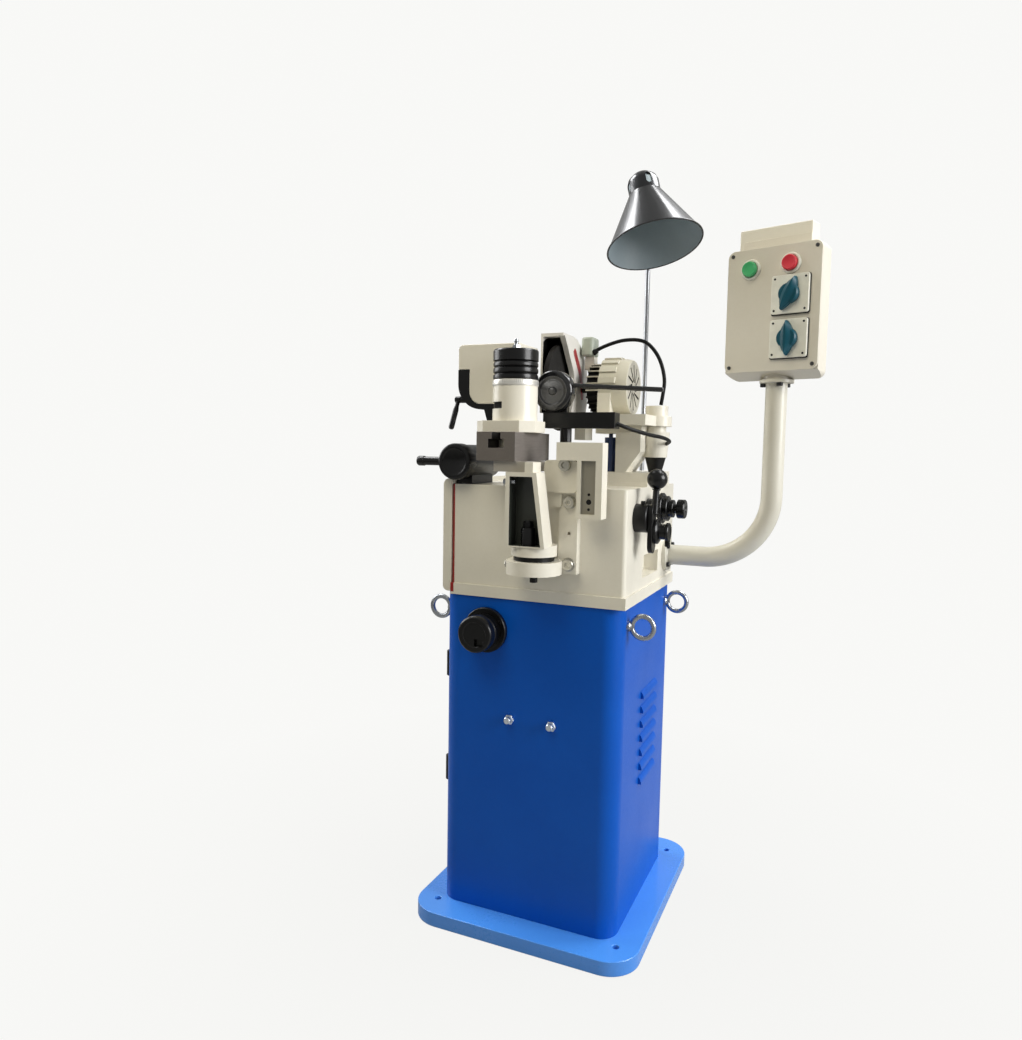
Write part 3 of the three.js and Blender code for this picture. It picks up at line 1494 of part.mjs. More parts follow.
// Feed dial: grooved rings under a cap
const dialBottom = scaleTop + runningClearance;
const dialTop = dialBottom + dialHeight;
const capTop = dialTop + dialCapHeight;
const dialProfile = [[0, dialBottom], [headBarrelRadius, dialBottom]];
for (let i = 0; i < dialGrooveCount; i += 1) {
  const z = dialBottom + dialHeight * (i + 1) / dialGrooveCount - dialGrooveWidth;
  const inside = headBarrelRadius - dialGrooveDepth;
  dialProfile.push([headBarrelRadius, z], [inside, z], [inside, z + dialGrooveWidth]);
  dialProfile.push([headBarrelRadius, z + dialGrooveWidth]);
}
dialProfile.push([headBarrelRadius, capTop - dialCapBevel]);
dialProfile.push([headBarrelRadius - dialCapBevel, capTop], [0, capTop]);
piece('feed_dial', turned(dialProfile, 'z', barrelX, barrelY, 0), black);
const nippleTop = capTop + nippleHexHeight + nippleNeckHeight + nippleBallRadius + nippleBevel;
piece('grease_nipple', fuse(
  cylinder(nippleHexRadius, capTop, capTop + nippleHexHeight, 'z', barrelX, barrelY, 0, hexagonSideCount),
  turned([
    [0, capTop + nippleHexHeight / 2],
    [nippleNeckRadius, capTop + nippleHexHeight / 2],
    [nippleNeckRadius, capTop + nippleHexHeight + nippleNeckHeight / 2],
    [nippleBallRadius, capTop + nippleHexHeight + nippleNeckHeight],
    [nippleBallRadius - nippleBevel, nippleTop - nippleBevel],
    [0, nippleTop],
  ], 'z', barrelX, barrelY, 0),
), steel);

// Rear housing behind the feed head, with the black bracket along its lower left edge
const housingRight = barrelX - housingFromBarrel;
const housingLeft = housingRight - housingWidth;
const housingFront = flangeBack + housingBehindFlange;
const housingBack = housingFront + housingDepth;
const housingBottom = flangeTop + housingAboveFlange;
const housingTop = housingBottom + housingHeight;
const housingShape = new THREE.Shape();
housingShape.moveTo(housingLeft + housingCorner, housingBottom);
housingShape.lineTo(housingRight, housingBottom);
housingShape.lineTo(housingRight, housingTop);
housingShape.lineTo(housingLeft + housingTopCorner, housingTop);
corner(
  housingShape, housingLeft + housingTopCorner, housingTop - housingTopCorner, housingTopCorner, quarter,
);
housingShape.lineTo(housingLeft, housingBottom + housingCorner);
corner(housingShape, housingLeft + housingCorner, housingBottom + housingCorner, housingCorner, Math.PI);
const housingBlank = pushed(housingShape, housingFront, housingBack, 'xz', roundedSegmentCount);
const stripInner = roundedRectangle(
  housingLeft + stripWidth, housingRight + housingWidth, housingBottom + stripFloor,
  housingTop + housingHeight, housingCorner - stripWidth,
);
const stripZone = block(
  housingLeft - overrun, housingLeft + stripRun, housingFront - overrun, housingFront + stripDepth,
  housingBottom - overrun, housingBottom + stripRise,
);
const stripBlank = cut(
  housingBlank.intersect(stripZone),
  pushed(stripInner, housingFront - overrun, housingBack + overrun, 'xz', coarseSegmentCount),
);
piece('rear_housing', cut(housingBlank, stripBlank), cream);
const bracketRight = barrelX - bracketFromBarrel;
const bracketLeft = bracketRight - bracketTopWidth;
const bracketLow = flangeTop - bracketLap;
const bracketKnobZ = (bracketLow + flangeTop) / 2;
const bracketMiddle = flangeBack + bracketDepth / 2;
const handleY = housingFront + handleHubBehind;
const handleZ = housingBottom + handleHubLift;
piece('housing_bracket', fuse(
  stripBlank,
  pushed(outline([
    [bracketLeft, housingBottom], [bracketLeft + bracketLap, bracketLow],
    [bracketLeft + bracketLap + bracketBottomWidth, bracketLow], [bracketRight, housingBottom],
  ]), flangeBack, flangeBack + bracketDepth, 'xz'),
  cylinder(
    bracketKnobRadius, bracketLeft - bracketKnobLength, bracketLeft + bracketKnobSocket,
    'x', 0, bracketMiddle, bracketKnobZ,
  ),
  cylinder(handleHubRadius, housingLeft, housingLeft + handleBossLength, 'x', 0, handleY, handleZ),
), black);

// Clamp handle on the housing's left side, hanging forward from its hub
const handleX = housingLeft - runningClearance - handleHubLength;
const handleRod = cylinder(handleRodRadius, -handleLength, 0, 'z', 0, 0, 0);
piece('clamp_handle', fuse(
  cylinder(handleHubRadius, handleX, handleX + handleHubLength, 'x', 0, handleY, handleZ),
  moved(
    handleRod.rotate([-handleLeanTurn * degrees, 0, 0]),
    handleX + handleHubLength / 2, handleY, handleZ,
  ),
), black);

// Damper cylinder lying along the body's left shoulder, with its locking collar and rod in front
const damperX = bodyLeft + damperFromLeft;
const damperZ = bodyTop + damperAboveTop;
const damperFront = bodyFront + damperSetback;
piece('damper_cylinder', fuse(
  cylinder(damperRadius, damperFront, damperFront + damperLength, 'y', damperX, 0, damperZ),
  block(
    damperX - damperFromLeft + overrun, damperX + saddleWidth / 2 + overrun,
    bodyFront + saddleSetback, bodyFront + saddleSetback + saddleDepth, bodyTop, bodyTop + saddleHeight,
  ),
), black);
const collarBack = damperFront - runningClearance;
const collarFront = collarBack - collarLength;
const rodY = collarFront + collarLength / 2;
const rodStart = damperX - collarRadius + collarRim;
const rodEnd = damperX - collarRadius - collarRodLength;
piece('locking_collar', fuse(
  cut(
    turned([
      [0, collarFront],
      [collarRadius - collarRim, collarFront],
      [collarRadius, collarFront + collarRim],
      [collarRadius, collarBack],
      [0, collarBack],
    ], 'y', damperX, 0, damperZ),
    cylinder(
      collarBoreRadius, collarFront - overrun, collarFront + collarBoreDepth, 'y', damperX, 0, damperZ,
    ),
  ),
  cylinder(collarRodRadius, rodEnd, rodStart, 'x', 0, rodY, damperZ),
  turned([
    [0, rodEnd - collarRodCapLength / 3],
    [collarRodCapRadius - collarRodCapBevel, rodEnd - collarRodCapBevel],
    [collarRodCapRadius, rodEnd],
    [collarRodCapRadius, rodEnd + collarRodCapLength],
    [0, rodEnd + collarRodCapLength],
  ], 'x', 0, rodY, damperZ),
), black);

// Right-angle bracket standing on the upper block, its leg hanging beside the column
const angleLeft = bodyRight - angleFromRight;
const angleRight = angleLeft + angleArmLength;
const angleFront = bodyFront - angleForward;
const angleBack = angleFront + angleDepth;
const angleTop = upperTop + angleArmHeight;
const angleLow = upperTop - angleLegDrop;
const legLeft = angleRight - angleLegWidth;
const legMiddle = legLeft + angleRecessInset + angleRecessWidth - angleRecessDepth;
let angleBracket = cut(
  fuse(
    block(angleLeft, angleRight, angleFront, angleBack, upperTop, angleTop),
    block(legLeft, angleRight, angleFront, angleBack, angleLow, upperTop + overrun),
  ),
  block(
    legLeft + angleRecessInset, legLeft + angleRecessInset + angleRecessWidth,
    angleFront - overrun, angleFront + angleRecessDepth, angleLow + angleRecessInset, upperTop,
  ),
);
[angleHoleRadius, angleBigHoleRadius, angleHoleRadius].forEach((radius, i) => {
  const z = angleLow + angleHoleInset + i * angleHoleSpacing;
  angleBracket = cut(
    angleBracket,
    cylinder(radius, angleFront, angleFront + angleDepth / 2, 'y', legMiddle, 0, z),
  );
});
piece('angle_bracket', angleBracket, cream);

// Index bar on its post, with the bearing for the feed lever
const postX = bodyRight - postFromRight;
const postY = bodyFront + postFromFront;
const barY = postY - indexBarAheadOfPost;
const barBottom = bodyTop + indexBarAboveTop;
const barTop = barBottom + indexBarHeight;
const barLeft = pivotX + indexBarLeft;
const barRight = barLeft + indexBarLength;
const postHoleX = barLeft + indexPostFromLeft;
const feedX = pivotX + indexBossX;
const feedZ = barTop + indexBossAboveBar;
const bossBack = barY + indexBossLength;
piece('index_bar', fuse(
  block(barLeft, barRight, barY - indexBarDepth / 2, barY + indexBarDepth / 2, barBottom, barTop),
  cylinder(indexPostRadius, bodyTop, barBottom + overrun, 'z', postHoleX, barY, 0),
  block(feedX - indexLugWidth / 2, feedX + indexLugWidth / 2, barY, bossBack, barTop - overrun, feedZ),
  cylinder(indexBossRadius, barY, bossBack, 'y', feedX, 0, feedZ),
), black);
const feedHubBack = barY - runningClearance;
const feedHubFront = feedHubBack - feedHubLength;
const feedRodTurn = Math.atan(feedRodSlopeShare) * degrees;
const feedRod = cylinder(feedRodRadius, 0, feedRodLength, 'x', 0, 0, 0).rotate([0, feedRodTurn, 0]);
const feedHubReal = Math.min(feedHubRadius, indexBossAboveBar - slideClearance);
piece('feed_lever', fuse(
  cut(
    turned([
      [0, feedHubFront],
      [feedHubReal - feedHubRim, feedHubFront],
      [feedHubReal, feedHubFront + feedHubRim],
      [feedHubReal, feedHubBack],
      [0, feedHubBack],
    ], 'y', feedX, 0, feedZ),
    turned([
      [0, feedHubFront - overrun],
      [feedHubDishRadius, feedHubFront - overrun],
      [feedHubDishRadius, feedHubFront],
      [feedHubDishRadius - feedHubDishDepth, feedHubFront + feedHubDishDepth],
      [0, feedHubFront + feedHubDishDepth],
    ], 'y', feedX, 0, feedZ),
  ),
  moved(feedRod, feedX, (feedHubFront + feedHubBack) / 2, feedZ + feedRodLift),
), black);

// Post and pedestal behind: a black cone, a turned housing with a spigot, and a bracket with its rail
const postBodyBottom = slabTop + postConeHeight;
const postBodyTop = postBodyBottom + postBodyHeight;
const railTop = postBodyTop + postNeckHeight;
const tableBottom = railTop + runningClearance;
const tableTop = tableBottom + tableThickness;
const railBottom = railTop - railHeight;
const postCone = turned([
  [0, slabTop], [postConeBottomRadius, slabTop], [postConeTopRadius, postBodyBottom], [0, postBodyBottom],
], 'z', postX, postY, 0);
piece('post_cone', postCone, black);
const pedestalLeft = postX - pedestalFromPost;
const pedestalFront = postY - pedestalForward;
const coneRoom = turned([
  [0, slabTop - overrun],
  [postConeTopRadius + slideClearance, slabTop - overrun],
  [postConeTopRadius + slideClearance, postBodyBottom],
  [0, postBodyBottom],
], 'z', postX, postY, 0);
const pedestal = fuse(
  turned([
    [0, postBodyBottom],
    [postBodyBottomRadius, postBodyBottom],
    [postBodyTopRadius, postBodyTop],
    [postNeckRadius, postBodyTop],
    [postNeckRadius, railTop],
    [postSpigotRadius, railTop],
    [postSpigotRadius, railTop + postSpigotHeight],
    [0, railTop + postSpigotHeight],
  ], 'z', postX, postY, 0),
  cut(
    pushed(outline([
      [pedestalLeft, slabTop], [pedestalLeft + pedestalFootWidth, slabTop],
      [pedestalLeft + pedestalWidth, slabTop + pedestalBreakHeight],
      [pedestalLeft + pedestalWidth, railBottom + overrun], [pedestalLeft, railBottom + overrun],
    ]), pedestalFront, pedestalFront + pedestalDepth, 'xz'),
    coneRoom,
  ),
  block(
    pedestalLeft + pedestalWidth - railWidth, pedestalLeft + pedestalWidth,
    postY - railForward, postY - railForward + railDepth, railBottom, railTop,
  ),
);
piece('head_pedestal', pedestal, cream);
const jackX = postX - jackFromPost;
const jackY = postY - jackForward;
piece('support_jack', fuse(
  cylinder(jackRadius, slabTop, slabTop + jackHeight, 'z', jackX, jackY, 0),
  cylinder(jackRodRadius, slabTop + jackHeight / 2, railBottom, 'z', jackX, jackY, 0),
), paint(0x12284f, 0.4, 0));

// Head table: plate, boss and cap over the post's spigot, and the motor's cradle
const tableEdgeLeft = postX - tableLeft;
const lugLeft = tableEdgeLeft + tableLugInset;
const lugFront = postY - tableFront + tableLugInset;
const motorX = postX - motorFaceFromPost;
const motorY = postY + motorBehindPost;
const motorZ = tableTop + motorAxisLift;
const bodyEnd = motorX + motorBodyLength;
const cowlEnd = bodyEnd + cowlLength;
piece('head_table', cut(
  fuse(
    block(
      tableEdgeLeft, postX + tableRight, postY - tableFront, postY + tableBack,
      tableBottom, tableTop,
    ),
    cylinder(tableBossRadius, tableBottom, tableTop, 'z', postX, postY, 0),
    cylinder(tableCapRadius, tableTop - overrun, tableTop + tableCapHeight, 'z', postX, postY, 0),
    block(
      lugLeft, lugLeft + tableLugWidth, lugFront, lugFront + tableLugDepth,
      tableBottom - tableLugHeight, tableTop - overrun,
    ),
    block(
      bodyEnd, bodyEnd + cradleWidth, motorY - cradleForward, motorY - cradleForward + cradleDepth,
      tableTop - overrun, tableTop + cradleHeight,
    ),
  ),
  bore(
    postSpigotRadius + runningClearance, tableBottom - overrun, railTop + postSpigotHeight + overrun,
    'z', postX, postY, 0,
  ),
  bore(cowlRadius, bodyEnd - overrun, bodyEnd + cradleWidth + overrun, 'x', 0, motorY, motorZ),
), cream);

// Motor behind the guard: a neck on the guard's back wall, a finned body and the pad for its terminal box
const guardFace = postX - guardFromPost;
const terminalLeft = motorX - terminalFromFace;
const terminalRight = terminalLeft + terminalWidth;
const terminalFront = motorY - terminalAheadOfAxis;
const terminalBottom = motorZ + motorFinRadius + terminalLift;
let motorBody = fuse(
  cylinder(motorNeckRadius, guardFace, motorX + overrun, 'x', 0, motorY, motorZ),
  cylinder(motorFlangeRadius, motorX, motorX + motorFlangeLength, 'x', 0, motorY, motorZ),
  cylinder(motorCoreRadius, motorX, bodyEnd, 'x', 0, motorY, motorZ),
);
for (let i = 0; i < motorFinCount; i += 1) {
  const fin = block(
    motorX, bodyEnd, -motorFinThickness / 2, motorFinThickness / 2,
    motorCoreRadius - overrun, motorFinRadius,
  );
  const turn = round * degrees * (i + 1 / 2) / motorFinCount;
  motorBody = fuse(motorBody, moved(fin.rotate([turn, 0, 0]), 0, motorY, motorZ));
}
const padLeft = bodyEnd - motorPadWidth;
motorBody = fuse(motorBody, block(
  padLeft, bodyEnd, motorY - motorPadDepth / 2, motorY + motorPadDepth / 2,
  motorZ + motorCoreRadius / 2, terminalBottom,
));
piece('motor_body', motorBody, paint(0x2a2b29, 0.5, 0.2));

// Cowl with raised pads along its barrel and swirl vents in its end
let motorCowl = turned([
  [0, bodyEnd],
  [cowlRadius, bodyEnd],
  [cowlRadius, cowlEnd - cowlNoseLength],
  [cowlRadius - cowlNoseDrop, cowlEnd],
  [0, cowlEnd],
], 'x', 0, motorY, motorZ);
for (let i = 0; i < cowlRidgeCount; i += 1) {
  const pad = pushed(outline([
    [bodyEnd, 0],
    [bodyEnd + cowlLength * cowlRidgeShare + cowlRidgeWidth, 0],
    [bodyEnd + cowlLength * cowlRidgeShare, cowlRadius + cowlRidgeHeight],
    [bodyEnd, cowlRadius + cowlRidgeHeight],
  ]), -cowlRidgeWidth / 2, cowlRidgeWidth / 2, 'xz');
  const turn = round * (i + 1 / 2) / cowlRidgeCount / 2 - quarter;
  motorCowl = fuse(motorCowl, moved(pad.rotate([turn * degrees, 0, 0]), 0, motorY, motorZ));
}
for (let i = 0; i < ventCount; i += 1) {
  const vent = block(
    cowlEnd - ventDepth, cowlEnd + overrun, -ventWidth / 2, ventWidth / 2,
    0, ventOuterRadius - ventInnerRadius,
  );
  const leaned = moved(vent.rotate([ventTwistTurn * degrees, 0, 0]), 0, 0, ventInnerRadius);
  motorCowl = cut(
    motorCowl,
    moved(leaned.rotate([round * degrees * i / ventCount, 0, 0]), 0, motorY, motorZ),
  );
}
piece('motor_cowl', motorCowl, cream);
piece('terminal_box', pushed(outline([
  [terminalLeft, terminalBottom],
  [terminalRight, terminalBottom],
  [terminalRight, terminalBottom + terminalHeight - terminalCorner],
  [terminalRight - terminalCorner, terminalBottom + terminalHeight],
  [terminalLeft, terminalBottom + terminalHeight],
]), terminalFront, terminalFront + terminalDepth, 'xz'), paint(0xa9b0a4, 0.5, 0));

// Spindle and grinding wheel, carried by a bearing in the guard's thick wall
const wheelX = guardFace - wheelFromGuardFace;
const wheelAxisY = postY - wheelAheadOfPost;
const wheelAxisZ = tableTop + wheelAxisLift;
const wheelLeft = wheelX - wheelThickness / 2;
const wheelRight = wheelX + wheelThickness / 2;
const thickInside = guardFace - guardThickWall;
const spindleEnd = thickInside + guardBearingDepth - slideClearance;
const nutStart = wheelLeft - wheelFlangeThickness;
piece('wheel_spindle', fuse(
  turned([
    [0, nutStart - wheelNutLength - overrun],
    [spindleRadius, nutStart - wheelNutLength - overrun],
    [spindleRadius, nutStart],
    [wheelFlangeRadius, nutStart],
    [wheelFlangeRadius, wheelLeft],
    [wheelBoreRadius, wheelLeft],
    [wheelBoreRadius, wheelRight],
    [wheelFlangeRadius, wheelRight],
    [wheelFlangeRadius, wheelRight + wheelFlangeThickness],
    [spindleRadius, wheelRight + wheelFlangeThickness],
    [spindleRadius, spindleEnd],
    [0, spindleEnd],
  ], 'x', 0, wheelAxisY, wheelAxisZ),
  cylinder(
    wheelNutRadius, nutStart - wheelNutLength, nutStart, 'x', 0, wheelAxisY, wheelAxisZ, hexagonSideCount,
  ),
), steel);
piece('grinding_wheel', cut(
  cylinder(wheelRadius, wheelLeft, wheelRight, 'x', 0, wheelAxisY, wheelAxisZ),
  bore(wheelBoreRadius, wheelLeft - overrun, wheelRight + overrun, 'x', 0, wheelAxisY, wheelAxisZ),
), paint(0x3a3a3c, 0.9, 0));

// Wheel guard: open to the front and below, its thick right wall cut back in a curve
const guardLeft = guardFace - guardWidth;
const guardFront = wheelAxisY - guardFrontReach;
const guardLow = wheelAxisZ - guardBottomDrop;
const guardTop = wheelAxisZ + guardRadius;
function guardOutline(inset, topInset, ahead, below) {
  const radius = guardRadius - inset;
  const end = -Math.asin((guardBottomDrop + below) / radius);
  const start = Math.asin((guardRadius - topInset) / radius);
  const shape = new THREE.Shape();
  shape.moveTo(guardFront - ahead, guardLow - below);
  shape.lineTo(wheelAxisY + radius * Math.cos(end), guardLow - below);
  shape.absarc(wheelAxisY, wheelAxisZ, radius, end, start);
  shape.lineTo(guardFront - ahead, guardTop - topInset);
  return shape;
}
const guardEdgeShares = [
  [-0.43, 0.96], [-0.26, 0.78], [-0.08, 0.56], [0.12, 0.33], [0.19, 0.14], [0.14, -0.22], [0.01, -0.54],
];
const rightEdge = guardEdgeShares.map(([y, z]) => [
  wheelAxisY + guardRadius * y, wheelAxisZ + guardRadius * z,
]);
const guardShell = cut(
  pushed(guardOutline(0, 0, 0, 0), guardLeft, guardFace, 'yz', guardSegmentCount),
  pushed(
    guardOutline(guardWall, guardTopWall, overrun, overrun),
    guardLeft + guardWall, thickInside, 'yz', guardSegmentCount,
  ),
  pushed(outline([
    [guardFront - overrun, guardTop - guardTopWall],
    ...rightEdge,
    [guardFront - overrun, guardLow - overrun],
  ]), thickInside - overrun, guardFace + overrun, 'yz'),
);
piece('wheel_guard', cut(
  fuse(guardShell, cylinder(guardBossRadius, thickInside, guardFace, 'x', 0, wheelAxisY, wheelAxisZ)),
  bore(
    spindleRadius + runningClearance, thickInside - overrun, thickInside + guardBearingDepth,
    'x', 0, wheelAxisY, wheelAxisZ,
  ),
), paint(0xb9b6ae, 0.45, 0.1));

// Leads held between housings: the motor's loop and the lower lead, each trimmed flush where it ends
const capFace = tableTop + tableCapHeight;
const motorLead = [
  [terminalRight - overrun, 22, 1043.3], [52.5, 23, 1051.8], [71.4, 24, 1058.6], [92.1, 25, 1063.4],
  [116, 25, 1063.7], [133.8, 25, 1059.1], [148.3, 24, 1047.6], [161.2, 23, 1029.1], [169.5, 22, 1007.3],
  [173.2, 21, 985.6], [171.3, 20.5, 964.1], [168.4, 20, capFace - overrun],
];
piece('motor_lead', cut(
  swept(motorLead, leadRadius, upperLeadStepCount, leadSideCount),
  block(
    terminalLeft, terminalRight, terminalFront, terminalFront + terminalDepth,
    terminalBottom, terminalBottom + terminalHeight,
  ),
  block(
    postX - tableCapRadius * 2, postX + tableCapRadius * 2,
    postY - tableCapRadius * 2, postY + tableCapRadius * 2, tableTop, capFace,
  ),
), black);
const lowerLead = [
  [barRight - overrun, -119, 906], [138.6, -112, 900.7], [146.9, -104, 897.1], [157.6, -92, 893.2],
  [165.7, -76, 890.2], [175.2, -58, 887.3], [183.2, -40, 885.2], [189.2, -20, 882.2], [190.5, 2, 877.8],
  [180.5, 19, 873.5],
];
piece('lower_lead', cut(
  swept(lowerLead, leadRadius, lowerLeadStepCount, leadSideCount),
  block(barLeft, barRight, barY - indexBarDepth, barY + indexBarDepth, barBottom - indexBarHeight, barTop),
  pedestal,
), black);

export default machine;
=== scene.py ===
import math
import bmesh
import bpy
from mathutils import Matrix, Vector


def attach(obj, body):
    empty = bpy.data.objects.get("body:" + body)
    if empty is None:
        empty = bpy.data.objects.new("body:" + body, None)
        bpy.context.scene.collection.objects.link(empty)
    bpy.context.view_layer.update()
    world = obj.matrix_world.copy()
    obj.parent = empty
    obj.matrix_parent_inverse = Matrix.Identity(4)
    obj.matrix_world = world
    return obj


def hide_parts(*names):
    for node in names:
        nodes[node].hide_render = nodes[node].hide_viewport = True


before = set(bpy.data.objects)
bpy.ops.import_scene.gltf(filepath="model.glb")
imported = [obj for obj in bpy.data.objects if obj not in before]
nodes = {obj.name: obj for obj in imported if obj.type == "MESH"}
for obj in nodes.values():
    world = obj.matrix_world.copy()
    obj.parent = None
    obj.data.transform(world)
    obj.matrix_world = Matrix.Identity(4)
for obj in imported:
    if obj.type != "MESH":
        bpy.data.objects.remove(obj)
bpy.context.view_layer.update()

# Camera: it stands at the operator's right, at chest height, and looks slightly down on the machine,
# at the place found from the photograph's own vanishing lines.
camera_data = bpy.data.cameras.new("camera")
camera_data.lens = 27.6
camera_data.sensor_width = 36.0
camera_data.clip_end = 50.0
camera = bpy.data.objects.new("camera", camera_data)
bpy.context.scene.collection.objects.link(camera)
bpy.context.scene.camera = camera
standing = Vector((0.52035, -1.42613, 0.85871))
looking = Vector((-0.40674, 0.90931, -0.08784))
upward = Vector((-0.05135, 0.07325, 0.99599))
rightward = looking.cross(upward).normalized()
upward = rightward.cross(looking).normalized()
camera.matrix_world = Matrix((
    (rightward.x, upward.x, -looking.x, standing.x),
    (rightward.y, upward.y, -looking.y, standing.y),
    (rightward.z, upward.z, -looking.z, standing.z),
    (0, 0, 0, 1),
))


# Studio: a pale floor that keeps a soft shadow near the machine, a white backdrop that only the camera and
# reflections see, and five soft lamps. The widest stands at the right, where the photograph is brightest.
class Signal:
    """A socket of a material; an expression on it adds the Math nodes."""

    def __init__(self, tree, socket=None):
        self.tree = tree
        self.socket = socket

    def add(self, kind, settings=None, values=None, output=0):
        node = self.tree.nodes.new(kind)
        for name, value in (settings or {}).items():
            setattr(node, name, value)
        for name, value in (values or {}).items():
            if isinstance(value, Signal):
                self.tree.links.new(value.socket, node.inputs[name])
            else:
                node.inputs[name].default_value = value
        return Signal(self.tree, node.outputs[output])

    def math(self, operation, first, second=0.0):
        return self.add("ShaderNodeMath", {"operation": operation}, {0: first, 1: second})

    def __add__(self, other):
        return self.math("ADD", self, other)

    def __sub__(self, other):
        return self.math("SUBTRACT", self, other)

    def __rsub__(self, other):
        return self.math("SUBTRACT", other, self)

    def __mul__(self, other):
        return self.math("MULTIPLY", self, other)

    def __pow__(self, other):
        return self.math("POWER", self, other)

    def __gt__(self, other):
        return self.math("GREATER_THAN", self, other)

    def __lt__(self, other):
        return self.math("LESS_THAN", self, other)

    __radd__ = __add__
    __rmul__ = __mul__


def blank(name):
    """An empty material: the signal that adds nodes to it, and its surface socket."""
    material = bpy.data.materials.new(name)
    material.use_nodes = True
    material.node_tree.nodes.clear()
    output = material.node_tree.nodes.new("ShaderNodeOutputMaterial")
    return material, Signal(material.node_tree), output.inputs["Surface"]


floor_reach, below_the_plate = 9.0, 0.0005
corners = [(-floor_reach, -floor_reach, 0), (floor_reach, -floor_reach, 0),
           (floor_reach, floor_reach, 0), (-floor_reach, floor_reach, 0)]
floor_mesh = bpy.data.meshes.new("floor")
floor_mesh.from_pydata(corners, [], [(0, 1, 2, 3)])
floor = bpy.data.objects.new("floor", floor_mesh)
floor.location.z = -below_the_plate
bpy.context.scene.collection.objects.link(floor)
floor_paint, make, surface = blank("pale_floor")
backdrop_colour = (0.942, 0.942, 0.925, 1)
shadow_at_foot, shadow_fade = 0.09, 0.08
seen = make.add("ShaderNodeLightPath", output="Is Camera Ray")
spot = make.add("ShaderNodeTexCoord", output="Object")
distance = make.add("ShaderNodeVectorMath", {"operation": "LENGTH"}, {0: spot}, "Value")
shadow_kept = make.math("MAXIMUM", shadow_at_foot - distance * shadow_fade, 0.0)
lit = make.add("ShaderNodeBsdfDiffuse", values={"Color": (0.35, 0.35, 0.34, 1)}, output="BSDF")
own = make.add("ShaderNodeEmission", values={"Color": backdrop_colour, "Strength": 1.0}, output="Emission")
both = make.add("ShaderNodeMixShader", values={0: seen * (1 - shadow_kept), 1: lit, 2: own}, output="Shader")
make.tree.links.new(both.socket, surface)
floor_mesh.materials.append(floor_paint)

world = bpy.data.worlds.new("studio")
world.use_nodes = True
world.node_tree.nodes.clear()
bpy.context.scene.world = world
room_light, mirrored_share = 0.1, 0.35
make = Signal(world.node_tree)
seen = make.add("ShaderNodeLightPath", output="Is Camera Ray")
mirrored = make.add("ShaderNodeLightPath", output="Is Glossy Ray")
through = make.add("ShaderNodeLightPath", output="Is Transmission Ray")
room = make.add("ShaderNodeBackground", values={"Color": (1, 0.98, 0.9, 1), "Strength": room_light})
backdrop = make.add("ShaderNodeBackground", values={"Color": backdrop_colour, "Strength": 1.0})
shown = make.math("MINIMUM", seen + mirrored * mirrored_share + through, 1.0)
mixed = make.add("ShaderNodeMixShader", values={0: shown, 1: room, 2: backdrop}, output="Shader")
world_output = world.node_tree.nodes.new("ShaderNodeOutputWorld")
make.tree.links.new(mixed.socket, world_output.inputs["Surface"])
for lamp_name, stand, aim, width, watts, tint in (
    ("key_right", (4.2, -0.4, 2.0), (0.1, 0, 0.45), 2.4, 194, (1, 1, 1)),
    ("top_right", (1.1, 1.0, 3.0), (0, 0, 0.9), 1.3, 58, (1, 1, 1)),
    ("top_left", (-1.5, 0.3, 2.8), (0, 0, 0.5), 1.0, 34, (1, 1, 1)),
    ("front", (-0.3, -1.4, 2.6), (0.1, 0, 1.3), 1.3, 24, (1, 0.93, 0.74)),
    ("rim_left", (-2.6, -0.2, 1.8), (0, 0, 1.1), 1.5, 34, (1, 1, 1)),
):
    light_data = bpy.data.lights.new(lamp_name, "AREA")
    light_data.size = width
    light_data.energy = watts
    light_data.color = tint
    light = bpy.data.objects.new(lamp_name, light_data)
    light.location = stand
    light.visible_glossy = lamp_name != "front"
    light.rotation_mode = "QUATERNION"
    light.rotation_quaternion = (Vector(aim) - Vector(stand)).to_track_quat("-Z", "Y")
    bpy.context.scene.collection.objects.link(light)
bpy.context.scene.view_settings.view_transform = "Standard"

# Base plate: a thick flame-cut steel plate with wide round corners and four anchor holes, sprayed in
# the same glossy blue enamel as the cabinet that is welded to it; its blue is painted lighter, as painted light
# on its top.
mm = 0.001


def tone(red, green, blue):
    """A paint-card colour, 0 to 255, as the linear colour that a shader takes."""
    card = (c / 255 for c in (red, green, blue))
    return tuple(((c + 0.055) / 1.055) ** 2.4 if c > 10 / 255 else c / 12.92 for c in card) + (1,)


def mixed_colour(make, amount, first, second):
    """One colour over another by an amount from 0 to 1."""
    settings = {"data_type": "RGBA", "blend_type": "MIX", "clamp_factor": True}
    return make.add("ShaderNodeMix", settings, {0: amount, 6: first, 7: second}, output=2)


def noise(make, place, scale, detail, roughness=0.5):
    """A cloudy pattern from 0 to 1, finer with a higher scale."""
    values = {"Vector": place, "Scale": scale, "Detail": detail, "Roughness": roughness}
    return make.add("ShaderNodeTexNoise", values=values)


def marked(make, place, hue, marks):
    """Lays second colours on a finish, each where its own test of x, y and z in millimetres is 1."""
    if marks:
        x, y, z = (make.add("ShaderNodeSeparateXYZ", values={0: place}, output=axis) * 1000 for axis in "XYZ")
    for where, colour in marks:
        hue = mixed_colour(make, where(x, y, z), hue, colour)
    return hue


